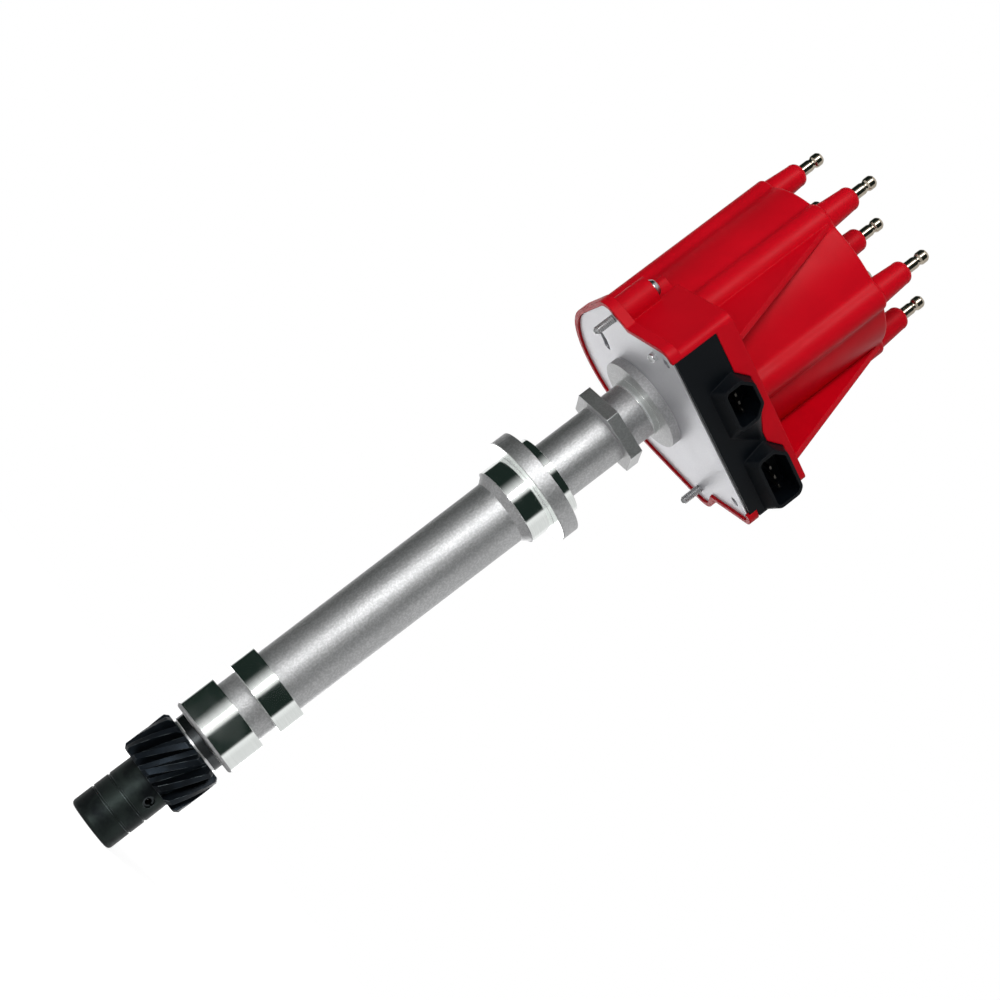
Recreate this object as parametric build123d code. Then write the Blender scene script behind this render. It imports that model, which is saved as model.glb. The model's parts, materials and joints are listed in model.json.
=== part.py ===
from build123d import *
from math import acos, atan2, cos, degrees, pi, radians, sin, tan
import os

# Ignition distributor with a remote coil, in millimetres.
# The origin is the centre of the mounting flange's underside, on the shaft's axis.
# +Z runs up the shaft to the cap's towers, and -Y points straight out of the ignition module.

os.makedirs("parts", exist_ok=True)

# ------------------------------------------------------------------ fits
running_gap = 0.03
seat_gap = 0.05
sliding_gap = 0.3
cover_gap = 0.2

# ------------------------------------------------------------------ engine and shaft
cylinders = 6
shaft_dia = 12.47
bushing_wall = 3.2
stem_bore_dia = 15.0

# ------------------------------------------------------------------ housing below the flange
pilot_dia = 32.7
pilot_length = 10.0
shoulder_dia = 31.5
shoulder_height = 3.0
stem_top_dia = 26.7
stem_foot_dia = 26.2
stem_length = 105.1
ring_dia = 32.2
upper_ring_length = 10.8
neck_dia = 25.5
neck_length = 7.9
lower_ring_length = 16.0
ring_edge_round = 1.3
lower_bushing_length = 22.0

# ------------------------------------------------------------------ housing above the flange
flange_dia = 45.7
flange_thickness = 6.9
flange_edge_round = 0.3
collar_dia = 33.6
collar_height = 4.2
riser_dia = 24.1
riser_length = 26.5
hex_across_flats = 31.75
hex_height = 5.4
hex_turn = -15.0
throat_dia = 23.6
throat_length = 9.8
step_dia = 24.6
step_height = 3.0
boss_dia = 40.0
boss_height = 4.0
boss_groove_width = 0.6
boss_groove_depth = 0.6
plate_thickness = 3.2
hub_dia = 26.0
hub_height = 12.4
upper_bushing_length = 21.0

# ------------------------------------------------------------------ base plate outline, seen from above
plate_back_radius = 41.3
plate_side_margin = 0.3
plate_front_margin = 2.3
plate_corner_round = 3.0
ear_round = 6.2
cap_screw_offset = 2.4
cap_screw_y = -7.3
cap_screw_dia = 3.4
vent_slot_length = 4.2
vent_slot_width = 3.4
vent_slot_x = 35.2
vent_slot_y = -38.4
drain_slot_radius = 8.0
drain_slot_width = 3.6
drain_slot_sweep = 58.0
drain_slot_x = -25.3
drain_slot_y = 13.4

# ------------------------------------------------------------------ gear and thrust washers
gear_teeth = 13
gear_tip_dia = 32.1
gear_root_dia = 25.0
gear_width = 20.0
gear_helix_angle = 27.0
gear_corner = 1.4
tooth_tip_share = 0.34
tooth_root_share = 0.66
hub_sleeve_dia = 22.1
hub_sleeve_length = 26.7
hub_sleeve_round = 1.6
scribe_depth = 0.4
scribe_width = 0.8
scribe_drops = (10.0, 17.0)
gear_pin_dia = 4.6
gear_pin_wall = 0.9
gear_pin_slit = 0.8
gear_pin_recess = 0.9
gear_pin_drop = 4.6
thrust_washer_dia = 24.6
thrust_washer_thickness = 3.3
shim_dia = 23.8
shim_thickness = 0.9
end_play = 0.1
pump_socket_dia = 16.4
pump_socket_depth = 12.0
pump_tang_thickness = 4.7
pump_tang_recess = 4.6

# ------------------------------------------------------------------ pickup and timer core
pickup_magnet_width = 6.9
coil_width = 7.0
pickup_magnet_height = 5.0
pickup_plate_thickness = 1.5
pickup_lead_gap = 22.0
coil_height = 8.6
coil_wall = 0.9
pole_tooth_height = 8.8
pole_tooth_width = 4.4
pole_tooth_thickness = 1.5
air_gap = 0.7
timer_tip_width = 3.0
timer_root_dia = 27.0
timer_thickness = 4.2
timer_hub_dia = 19.0
timer_flange_dia = 36.0
timer_flange_thickness = 2.0
timer_clearance = 1.2
timer_height = 12.6
clip_thickness = 0.9
clip_width = 1.7
clip_opening = 60.0
clip_groove_depth = 0.6
lead_dia = 1.7
lead_spacing = 3.2
plug_width = 8.0
plug_height = 4.0
plug_depth = 6.0
plug_bearing = 129.0
plug_stand_off = 1.0
plug_edge_round = 0.8

# ------------------------------------------------------------------ rotor
rotor_base_dia = 44.0
rotor_base_thickness = 3.4
rotor_turret_dia = 27.0
rotor_turret_wall = 2.4
rotor_turret_height = 20.0
rotor_arm_width = 11.0
rotor_arm_height = 7.0
rotor_arm_back = 16.0
rotor_arm_round = 1.5
rotor_turret_taper = 1.5
rotor_well_gap = 0.6
rotor_gap = 0.8
segment_width = 6.4
segment_thickness = 1.1
segment_tip_height = 4.2
segment_tip_depth = 2.2
segment_back_inset = 4.0
contact_spring_width = 4.6
contact_spring_thickness = 0.5
contact_spring_foot = 7.0
contact_spring_inset = 5.0
contact_spring_rise = 5.0
contact_spring_bend = 1.2
contact_dome_radius = 1.9
rotor_screw_circle_dia = 26.6
rotor_screw_dia = 3.4
rotor_screw_head_dia = 6.0
rotor_screw_head_height = 2.0

# ------------------------------------------------------------------ cap
cap_wall = 2.4
cap_roof = 3.8
rim_drop = 0.9
rim_height = 4.4
rim_overhang = 2.0
shelf_height = 24.0
box_half_width = 41.9
box_front = 46.9
box_corner_round = 3.4
body_dia = 75.2
body_height = 86.0
body_edge_round = 1.6
tower_inset = 3.0
pilaster_radius = 6.9
pilaster_blend = 5.0
tower_base_dia = 11.4
tower_top_dia = 9.6
tower_height = 15.0
tower_mouth_dia = 6.4
tower_shoulder = 3.2
coil_tower_rise = 4.8
pillar_radius = 6.0
pillar_height = 15.0
screw_recess_gap = 1.0
rib_x = 30.0
rib_thickness = 2.6
rib_top_reach = 24.0
rib_top_drop = 2.0
rib_root = 8.0
rib_edge_inset = 0.6
electrode_boss_radius = 4.4
button_holder_dia = 10.4
button_holder_length = 8.2

# ------------------------------------------------------------------ terminals
post_dia = 5.4
post_neck_dia = 4.5
post_height = 10.6
stem_dia = 4.0
electrode_dia = 6.0
electrode_tip_length = 7.5
button_dia = 6.0
button_length = 6.8
button_showing = 1.8
button_end_round = 0.8
button_travel = 1.5
spring_wire_dia = 0.5
spring_turns = 4
spring_slack = 0.8
spring_side_gap = 0.2
spring_end_gap = 0.1

# ------------------------------------------------------------------ cap screws
cap_screw_head_dia = 8.0
cap_screw_head_height = 3.0
cap_screw_tip = 9.0
screw_point = 1.0

# ------------------------------------------------------------------ ignition module
module_left_margin = 3.4
module_right_margin = 0.6
module_sill_margin = 3.9
module_face_inset = 0.1
module_depth = 14.8
module_plate_depth = 16.2
module_top_height = 15.8
module_plate_thickness = 1.8
module_lip_thickness = 1.9
module_lip_drop = 2.7
module_round = 0.8
hood_reach = 5.2
hood_base_foot = 6.1
hood_base_crown = 23.4
hood_mouth_foot = 8.6
hood_mouth_crown = 22.2
hood_shoulder = 4.6
hood_base_round = 1.4
hood_mouth_round = 3.2
hood_wall = 1.3
socket_depth = 12.0
pin_length = 6.6
pin_width = 1.5
pin_thickness = 0.8
pin_count = 4
main_hood_left = -18.6
main_hood_width = 19.2
main_hood_flare_left = 2.2
main_hood_flare_right = 12.6
timing_hood_width = 24.6
timing_hood_end = 0.3
timing_hood_flare_left = 2.8
timing_hood_flare_right = 0.3
timing_hood_shoulder_right = 2.4
module_screw_places = (-29.0, 8.6)
module_screw_setback = 8.3
module_screw_dia = 3.6
module_screw_head_dia = 6.4
module_screw_head_height = 2.2
module_screw_bite = 2.6
dowel_side = 2.6
dowel_setback = 13.6
dowel_dia = 3.8
dowel_tip = 2.8

# ------------------------------------------------------------------ heights that follow from the sizes
shoulder_foot_z = -pilot_length - shoulder_height
upper_ring_top_z = shoulder_foot_z - stem_length
neck_top_z = upper_ring_top_z - upper_ring_length
lower_ring_top_z = neck_top_z - neck_length
housing_foot_z = lower_ring_top_z - lower_ring_length
collar_top_z = flange_thickness + collar_height
hex_foot_z = flange_thickness + riser_length + collar_height
hex_top_z = hex_foot_z + hex_height
throat_top_z = hex_top_z + throat_length
step_top_z = throat_top_z + step_height
plate_foot_z = step_top_z + boss_height
plate_top_z = plate_foot_z + plate_thickness
hub_top_z = plate_top_z + hub_height
thrust_washer_z = housing_foot_z - end_play - thrust_washer_thickness
shim_z = thrust_washer_z - end_play - shim_thickness
gear_top_z = shim_z
gear_foot_z = gear_top_z - gear_width
shaft_foot_z = gear_foot_z - hub_sleeve_length
coil_foot_z = plate_top_z + pickup_plate_thickness
pole_foot_z = coil_foot_z + pickup_magnet_height
timer_foot_z = hub_top_z + timer_clearance
timer_top_z = timer_foot_z + timer_height
rotor_arm_foot_z = timer_top_z + rotor_turret_height
segment_foot_z = rotor_arm_foot_z + rotor_arm_height
roof_top_z = plate_top_z + body_height
roof_foot_z = roof_top_z - cap_roof
shelf_top_z = plate_top_z + shelf_height
pillar_top_z = plate_top_z + pillar_height
tower_top_z = roof_top_z + tower_height
coil_tower_top_z = tower_top_z + coil_tower_rise
holder_foot_z = roof_foot_z - button_holder_length
button_foot_z = holder_foot_z - button_showing
button_top_z = button_foot_z + button_length
module_foot_z = plate_top_z + module_plate_thickness
module_face = box_front - module_face_inset
module_back = module_face - module_depth
electrode_tip_z = segment_foot_z - electrode_tip_length / 2 - segment_tip_height / 3

# ------------------------------------------------------------------ places that follow from the sizes
plate_half_width = box_half_width + plate_side_margin
plate_front = box_front - plate_front_margin
cap_screw_x = box_half_width + cap_screw_offset
tower_circle_radius = body_dia / 2 - tower_inset
module_left = module_left_margin - box_half_width
module_right = box_half_width - module_right_margin
module_sill_right = box_half_width - module_sill_margin
main_hood_right = main_hood_left + main_hood_width
timing_hood_right = module_right - timing_hood_end
timing_hood_left = timing_hood_right - timing_hood_width
module_screw_y = module_screw_setback - module_face
dowel_x = module_left + dowel_side
dowel_y = dowel_setback - plate_front

shaft_radius = shaft_dia / 2
bushing_radius = shaft_radius + bushing_wall
electrode_angles = [360 / cylinders * k - 90 for k in range(cylinders)]


# ------------------------------------------------------------------ small helpers
def rod(radius, foot, top, x=0.0, y=0.0):
    """Upright cylinder between two heights."""
    return Pos(x, y, foot) * Cylinder(radius, top - foot, align=(Align.CENTER, Align.CENTER, Align.MIN))


def ring(outer, inner, foot, top):
    """Upright tube between two heights."""
    return rod(outer, foot, top) - rod(inner, foot, top)


def slab(sketch, foot, top):
    """Flat sketch raised between two heights."""
    return extrude(Pos(0, 0, foot) * sketch, amount=top - foot)


def turned(points):
    """Solid turned round the shaft's axis from (radius, height) points."""
    return revolve(Plane.XZ * make_face(Polyline(*points, close=True)), Axis.Z)


def polar(radius, angle):
    """Point at a radius and an angle in degrees."""
    return radius * cos(radians(angle)), radius * sin(radians(angle))


def link(radius_a, radius_b, x, y):
    """Outline drawn tight round a circle at the origin and a second one at x, y."""
    bearing = atan2(y, x)
    spread = acos((radius_a - radius_b) / (x**2 + y**2) ** 0.5)
    sides = [bearing + spread, bearing - spread]
    near = [(radius_a * cos(a), radius_a * sin(a)) for a in sides]
    far = [(x + radius_b * cos(a), y + radius_b * sin(a)) for a in sides]
    quad = make_face(Polyline(near[0], far[0], far[1], near[1], close=True))
    return Circle(radius_a) + Pos(x, y) * Circle(radius_b) + quad


def front_block(half_width, front, corner, back=0.0):
    """Rectangle from the back to the flat front, with its two front corners rounded."""
    block = Pos(0, -(front + back) / 2) * Rectangle(2 * half_width, front - back)
    return fillet(block.vertices().group_by(Axis.Y)[0], corner)


def base_outline(grow):
    """Outline of the base plate, grown evenly by a distance."""
    left = link(plate_back_radius + grow, ear_round + grow, -cap_screw_x, cap_screw_y)
    right = link(plate_back_radius + grow, ear_round + grow, cap_screw_x, cap_screw_y)
    front = front_block(plate_half_width + grow, plate_front + grow, plate_corner_round + grow)
    return left + right + front


def save(name, *shapes):
    """Writes one node, which may hold several separate solids."""
    solids = [s for shape in shapes for s in shape.solids()]
    export_step(Compound(children=solids) if len(solids) > 1 else solids[0], f"parts/{name}.step")


# ------------------------------------------------------------------ housing
def housing():
    below = turned([
        (0, 0),
        (pilot_dia / 2, 0),
        (pilot_dia / 2, -pilot_length),
        (shoulder_dia / 2, -pilot_length),
        (stem_top_dia / 2, shoulder_foot_z),
        (stem_foot_dia / 2, upper_ring_top_z),
        (ring_dia / 2, upper_ring_top_z),
        (ring_dia / 2, neck_top_z),
        (neck_dia / 2, neck_top_z),
        (neck_dia / 2, lower_ring_top_z),
        (ring_dia / 2, lower_ring_top_z),
        (ring_dia / 2, housing_foot_z),
        (0, housing_foot_z),
    ])
    below = fillet(below.edges().filter_by(GeomType.CIRCLE).group_by(Axis.Z)[0], ring_edge_round)
    flange = rod(flange_dia / 2, 0, flange_thickness)
    flange = fillet(flange.edges().filter_by(GeomType.CIRCLE), flange_edge_round)
    above = turned([
        (0, flange_thickness),
        (collar_dia / 2, flange_thickness),
        (collar_dia / 2, collar_top_z),
        (riser_dia / 2, collar_top_z),
        (riser_dia / 2, hex_foot_z),
        (throat_dia / 2, hex_foot_z),
        (throat_dia / 2, throat_top_z),
        (step_dia / 2, throat_top_z),
        (step_dia / 2, step_top_z),
        (boss_dia / 2, step_top_z),
        (boss_dia / 2, plate_foot_z),
        (hub_dia / 2, plate_foot_z),
        (hub_dia / 2, hub_top_z),
        (0, hub_top_z),
    ])
    hexagon = RegularPolygon(hex_across_flats / 2, 6, major_radius=False, rotation=hex_turn)
    body = below + flange + above + slab(hexagon, hex_foot_z, hex_top_z)
    body += slab(base_outline(0), plate_foot_z, plate_top_z)
    body -= rod(stem_bore_dia / 2, housing_foot_z, hub_top_z)
    body -= rod(bushing_radius, housing_foot_z, housing_foot_z + lower_bushing_length)
    body -= rod(bushing_radius, hub_top_z - upper_bushing_length, hub_top_z)
    mark_foot = plate_foot_z - boss_groove_width
    body -= ring(boss_dia, boss_dia / 2 - boss_groove_depth, mark_foot, plate_foot_z)
    groove_foot = clip_foot_z() - seat_gap
    groove_top = clip_foot_z() + clip_thickness + seat_gap
    body -= ring(hub_dia, hub_dia / 2 - clip_groove_depth, groove_foot, groove_top)
    for side in (-1, 1):
        hole_x = side * cap_screw_x
        body -= rod(cap_screw_dia / 2 + seat_gap, plate_foot_z, plate_top_z, hole_x, cap_screw_y)
        slot = Pos(side * vent_slot_x, vent_slot_y) * SlotOverall(vent_slot_length, vent_slot_width)
        body -= slab(slot, plate_foot_z, plate_top_z)
    body -= slab(drain_slot(), plate_foot_z, plate_top_z)
    body -= rod(dowel_dia / 2 + seat_gap, plate_foot_z, plate_top_z, dowel_x, dowel_y)
    for x in module_screw_places:
        foot = plate_top_z - module_screw_bite
        body -= rod(module_screw_dia / 2 + seat_gap, foot, plate_top_z, x, module_screw_y)
    return body


def drain_slot():
    """Curved slot in the plate, bulging towards the module."""
    half = drain_slot_sweep / 2
    arc = CenterArc((0, -drain_slot_radius), drain_slot_radius, 90 - half, drain_slot_sweep)
    return Pos(drain_slot_x, drain_slot_y) * Rot(0, 0, 180) * SlotArc(arc, drain_slot_width)


def bushing(foot, top):
    return ring(bushing_radius - seat_gap, shaft_radius + running_gap, foot, top)


# ------------------------------------------------------------------ shaft, gear and washers
def shaft():
    body = rod(shaft_radius, shaft_foot_z + pump_tang_recess, timer_top_z)
    cut_top = shaft_foot_z + pump_socket_depth
    for side in (-1, 1):
        offset = side * (pump_tang_thickness / 2 + shaft_dia / 2)
        body -= Pos(0, offset, cut_top) * Box(
            shaft_dia, shaft_dia, 2 * pump_socket_depth, align=(Align.CENTER, Align.CENTER, Align.MAX)
        )
    return body - pin_hole(gear_pin_dia / 2 + seat_gap)


def gear_outline():
    """Thirteen straight-flanked teeth on one closed line, tip and root lands as short chords."""
    pitch = 2 * pi / gear_teeth
    points = []
    for k in range(gear_teeth):
        middle = k * pitch
        for radius, share in (
            (gear_root_dia / 2, -tooth_root_share),
            (gear_tip_dia / 2, -tooth_tip_share),
            (gear_tip_dia / 2, tooth_tip_share),
            (gear_root_dia / 2, tooth_root_share),
        ):
            angle = middle + share * pitch / 2
            points.append((radius * cos(angle), radius * sin(angle)))
    return make_face(Polyline(*points, close=True))


def drive_gear():
    twist = degrees(gear_width * tan(radians(gear_helix_angle)) / (gear_tip_dia / 2))
    teeth = Solid.extrude_linear_with_rotation(
        Pos(0, 0, gear_foot_z) * gear_outline().face(), (0, 0, gear_foot_z), (0, 0, gear_width), twist
    )
    blank = rod(gear_tip_dia / 2, gear_foot_z, gear_top_z)
    blank = chamfer(blank.edges().filter_by(GeomType.CIRCLE), gear_corner)
    body = Part() + (teeth & blank)
    sleeve = rod(hub_sleeve_dia / 2, shaft_foot_z, gear_foot_z)
    sleeve = fillet(sleeve.edges().filter_by(GeomType.CIRCLE).group_by(Axis.Z)[0], hub_sleeve_round)
    body += sleeve
    for drop in scribe_drops:
        foot = gear_foot_z - drop - scribe_width / 2
        body -= ring(hub_sleeve_dia, hub_sleeve_dia / 2 - scribe_depth, foot, foot + scribe_width)
    body -= rod(shaft_radius + seat_gap, shaft_foot_z, gear_top_z)
    body -= rod(pump_socket_dia / 2, shaft_foot_z, shaft_foot_z + pump_socket_depth)
    return body - pin_hole(gear_pin_dia / 2 + seat_gap)


def pin_hole(radius):
    """Cross cylinder for the roll pin, straight through hub and shaft along Y."""
    return Pos(0, 0, gear_foot_z - gear_pin_drop) * Rot(90, 0, 0) * Cylinder(radius, hub_sleeve_dia + 2)


def gear_pin():
    length = hub_sleeve_dia - 2 * gear_pin_recess
    pin = Cylinder(gear_pin_dia / 2, length) - Cylinder(gear_pin_dia / 2 - gear_pin_wall, length)
    pin -= Pos(gear_pin_dia / 2, 0, 0) * Box(gear_pin_dia, gear_pin_slit, length)
    return Pos(0, 0, gear_foot_z - gear_pin_drop) * Rot(90, 0, 0) * pin


def washer(outer_dia, foot, thickness):
    return ring(outer_dia / 2, shaft_radius + seat_gap, foot, foot + thickness)


# ------------------------------------------------------------------ pickup
def clip_foot_z():
    return pole_foot_z + pickup_plate_thickness + seat_gap


def pickup_plate():
    return ring(pickup_outer(), hub_dia / 2 + seat_gap, plate_top_z, coil_foot_z)


def pickup_magnet():
    outer = pickup_outer()
    body = ring(outer, outer - pickup_magnet_width, coil_foot_z, pole_foot_z)
    return body - lead_passage(coil_foot_z, pole_foot_z)


def lead_passage(foot, top):
    """Straight way out for the leads, from the coil to the plug."""
    way = Pos(pickup_outer(), 0) * Rectangle(2 * pickup_outer(), 2 * lead_spacing)
    return slab(Rot(0, 0, -plug_bearing) * way, foot, top)


def coil_inner():
    return hub_dia / 2 + seat_gap


def coil_outer():
    return coil_inner() + coil_width


def pickup_outer():
    """Outer radius of the magnet ring, the pole piece and the plate under them."""
    return coil_outer() + seat_gap + pickup_magnet_width


def coil_bobbin():
    top = coil_foot_z + pickup_magnet_height - seat_gap
    body = ring(coil_outer(), coil_inner(), coil_foot_z, top)
    return body - ring(coil_outer(), coil_inner() + coil_wall, coil_foot_z + coil_wall, top - coil_wall)


def coil_winding():
    foot = coil_foot_z + coil_wall
    top = coil_foot_z + pickup_magnet_height - seat_gap - coil_wall
    return ring(coil_outer() - coil_wall, coil_inner() + coil_wall, foot, top)


def pole_inner():
    """Radius of the pole teeth's inner faces."""
    return timer_tip_radius() + air_gap


def timer_tip_radius():
    return coil_outer() - air_gap


def pole_piece():
    top = pole_foot_z + pickup_plate_thickness
    body = ring(pickup_outer(), pole_inner(), pole_foot_z, top)
    tooth = Pos(pole_inner() + pole_tooth_thickness / 2, 0, pole_foot_z) * Box(
        pole_tooth_thickness,
        pole_tooth_width,
        pole_tooth_height,
        align=(Align.CENTER, Align.CENTER, Align.MIN),
    )
    for angle in electrode_angles:
        body += Rot(0, 0, angle) * tooth
    return body - rod(pole_inner(), pole_foot_z, pole_foot_z + pole_tooth_height)


def pickup_clip():
    outer = hub_dia / 2 + clip_width
    inner = hub_dia / 2 - clip_groove_depth + seat_gap
    body = ring(outer, inner, clip_foot_z(), clip_foot_z() + clip_thickness)
    mouth_width = 2 * outer * sin(radians(clip_opening / 2))
    mouth = Pos(outer, 0, clip_foot_z()) * Box(outer, mouth_width, 3 * clip_thickness)
    return body - mouth


def lead_z():
    return coil_foot_z + pickup_magnet_height / 2


def pickup_leads():
    start = coil_outer() - coil_wall + seat_gap
    length = plug_reach() - start
    wire = Pos(start + length / 2, 0, lead_z()) * Rot(0, 90, 0) * Cylinder(lead_dia / 2, length)
    pair = [Pos(0, side * lead_spacing / 2, 0) * wire for side in (-1, 1)]
    return [Rot(0, 0, -plug_bearing) * one for one in pair]


def plug_reach():
    """Distance from the shaft's axis to the back of the plug."""
    return pickup_outer() + plug_stand_off


def pickup_plug():
    body = Pos(plug_reach() + plug_depth / 2, 0, lead_z()) * Box(plug_depth, plug_width, plug_height)
    return Rot(0, 0, -plug_bearing) * fillet(body.edges().filter_by(Axis.X), plug_edge_round)


def timer_core():
    tip = timer_tip_radius()
    disc = Circle(timer_root_dia / 2)
    point = make_face(Polyline(
        (0, -timer_root_dia / 4),
        (tip, -timer_tip_width / 2),
        (tip, timer_tip_width / 2),
        (0, timer_root_dia / 4),
        close=True,
    ))
    for angle in electrode_angles:
        disc += Rot(0, 0, angle) * point
    body = slab(disc, timer_foot_z, timer_foot_z + timer_thickness)
    body += rod(timer_hub_dia / 2, timer_foot_z, timer_top_z)
    body += rod(timer_flange_dia / 2, timer_top_z - timer_flange_thickness, timer_top_z)
    body -= rod(shaft_radius + seat_gap, timer_foot_z, timer_top_z)
    for y in (-1, 1):
        body -= rod(
            rotor_screw_dia / 2 + seat_gap,
            timer_top_z - timer_flange_thickness,
            timer_top_z,
            0,
            y * rotor_screw_circle_dia / 2,
        )
    return body


# ------------------------------------------------------------------ rotor, its arm along +X
def rotor_reach():
    return tower_circle_radius - electrode_dia / 2 - rotor_gap


def rotor_body():
    base_top = timer_top_z + rotor_base_thickness
    base = rod(rotor_base_dia / 2, timer_top_z, base_top)
    turret = turned([
        (0, base_top),
        (rotor_turret_dia / 2, base_top),
        (rotor_turret_dia / 2 - rotor_turret_taper, rotor_arm_foot_z + rotor_arm_height),
        (0, rotor_arm_foot_z + rotor_arm_height),
    ])
    arm_length = rotor_reach() - segment_tip_depth + rotor_arm_back
    arm = Pos(arm_length / 2 - rotor_arm_back, 0) * Rectangle(arm_length, rotor_arm_width)
    well_radius = rotor_screw_head_dia / 2 + rotor_well_gap
    screw_wells = [
        rod(well_radius, base_top, rotor_arm_foot_z, 0, y * rotor_screw_circle_dia / 2) for y in (-1, 1)
    ]
    arm = fillet(arm.vertices(), rotor_arm_round)
    body = base + turret + slab(arm, rotor_arm_foot_z, segment_foot_z)
    for well in screw_wells:
        body -= well
    for y in (-1, 1):
        place_y = y * rotor_screw_circle_dia / 2
        body -= rod(rotor_screw_dia / 2 + seat_gap, timer_top_z, base_top, 0, place_y)
    return body


def rotor_segment():
    length = rotor_reach() + rotor_arm_back - segment_back_inset
    strip = Pos(rotor_reach() - length / 2, 0, segment_foot_z) * Box(
        length, segment_width, segment_thickness, align=(Align.CENTER, Align.CENTER, Align.MIN)
    )
    tip_x = rotor_reach() - segment_tip_depth / 2 + seat_gap
    tip = Pos(tip_x, 0, segment_foot_z + segment_thickness) * Box(
        segment_tip_depth - 2 * seat_gap,
        segment_width,
        segment_tip_height,
        align=(Align.CENTER, Align.CENTER, Align.MAX),
    )
    return strip + tip


def rotor_spring():
    """Flat spring from the back of the segment up to the middle, with a contact dome under the button."""
    foot_z = segment_foot_z + segment_thickness
    back = -rotor_arm_back + contact_spring_inset
    crown_z = button_foot_z - sliding_gap - contact_dome_radius / 2
    path = FilletPolyline(
        (back + contact_spring_foot, 0, foot_z + contact_spring_thickness / 2),
        (back, 0, foot_z + contact_spring_thickness / 2),
        (back, 0, foot_z + contact_spring_rise),
        (0, 0, crown_z),
        radius=contact_spring_bend,
    )
    start = Plane(path @ 0, z_dir=path % 0)
    strip = sweep(start * Rectangle(contact_spring_thickness, contact_spring_width), path)
    dome = Pos(0, 0, crown_z) * Sphere(contact_dome_radius)
    dome &= rod(contact_dome_radius, crown_z - contact_spring_thickness, button_foot_z - sliding_gap)
    return strip + dome


def rotor_screws():
    base_top = timer_top_z + rotor_base_thickness
    places = [(0, side * rotor_screw_circle_dia / 2) for side in (-1, 1)]
    foot = timer_top_z - timer_flange_thickness
    return [pan_screw(x, y, foot, base_top, rotor_screw_dia, rotor_screw_head_dia, rotor_screw_head_height)
            for x, y in places]


def pan_screw(x, y, foot, seat, dia, head_dia, head_height):
    """Screw with a rounded head that sits on a seat, and a chamfered point."""
    shank = rod(dia / 2, foot, seat, x, y)
    shank = chamfer(shank.edges().filter_by(GeomType.CIRCLE).group_by(Axis.Z)[0], dia / 4)
    head = rod(head_dia / 2, seat, seat + head_height, x, y)
    head = fillet(head.edges().filter_by(GeomType.CIRCLE).group_by(Axis.Z)[-1], head_height * 0.8)
    return shank + head


# ------------------------------------------------------------------ cap
def tower(top_z):
    """Tapered tower with rounded shoulders, standing on the cap's roof at the origin."""
    mouth = tower_mouth_dia / 2
    top = tower_top_dia / 2
    base = tower_base_dia / 2
    shoulder_z = top_z - tower_shoulder
    profile = Line((0, roof_foot_z), (base, roof_foot_z))
    profile += Line((base, roof_foot_z), (base, roof_top_z))
    profile += Line((base, roof_top_z), (top, shoulder_z))
    crown = (mouth + 0.78 * (top - mouth), shoulder_z + 0.62 * tower_shoulder)
    profile += ThreePointArc((top, shoulder_z), crown, (mouth, top_z))
    profile += Line((mouth, top_z), (0, top_z))
    profile += Line((0, top_z), (0, roof_foot_z))
    return revolve(Plane.XZ * make_face(profile), Axis.Z)


def rib(x):
    """Triangular gusset from a front tower's foot down to the shelf's edge."""
    outline = make_face(Polyline(
        (-rib_top_reach + rib_root, shelf_top_z - cap_wall),
        (-box_front + rib_edge_inset, shelf_top_z - cap_wall),
        (-box_front + rib_edge_inset, shelf_top_z),
        (-rib_top_reach, roof_top_z - rib_top_drop),
        (-rib_top_reach + rib_root, roof_top_z - rib_top_drop),
        close=True,
    ))
    return Pos(x, 0, 0) * extrude(Plane.YZ * outline, amount=rib_thickness / 2, both=True)


def box_outline(inset):
    """Plan of the cover over the module, set in evenly and hollowed round the heads of the cap screws."""
    outline = front_block(box_half_width - inset, box_front - inset, box_corner_round - inset, inset)
    hollow = Circle(cap_screw_head_dia / 2 + screw_recess_gap + inset)
    for side in (-1, 1):
        outline -= Pos(side * cap_screw_x, cap_screw_y) * hollow
    return outline


def fluted_outline():
    """Plan of the cap's upper body: a circle with a soft pilaster under each tower."""
    outline = Circle(body_dia / 2)
    for angle in electrode_angles:
        outline += Pos(*polar(tower_circle_radius, angle)) * Circle(pilaster_radius)
    return fillet(outline.vertices(), pilaster_blend)


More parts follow.
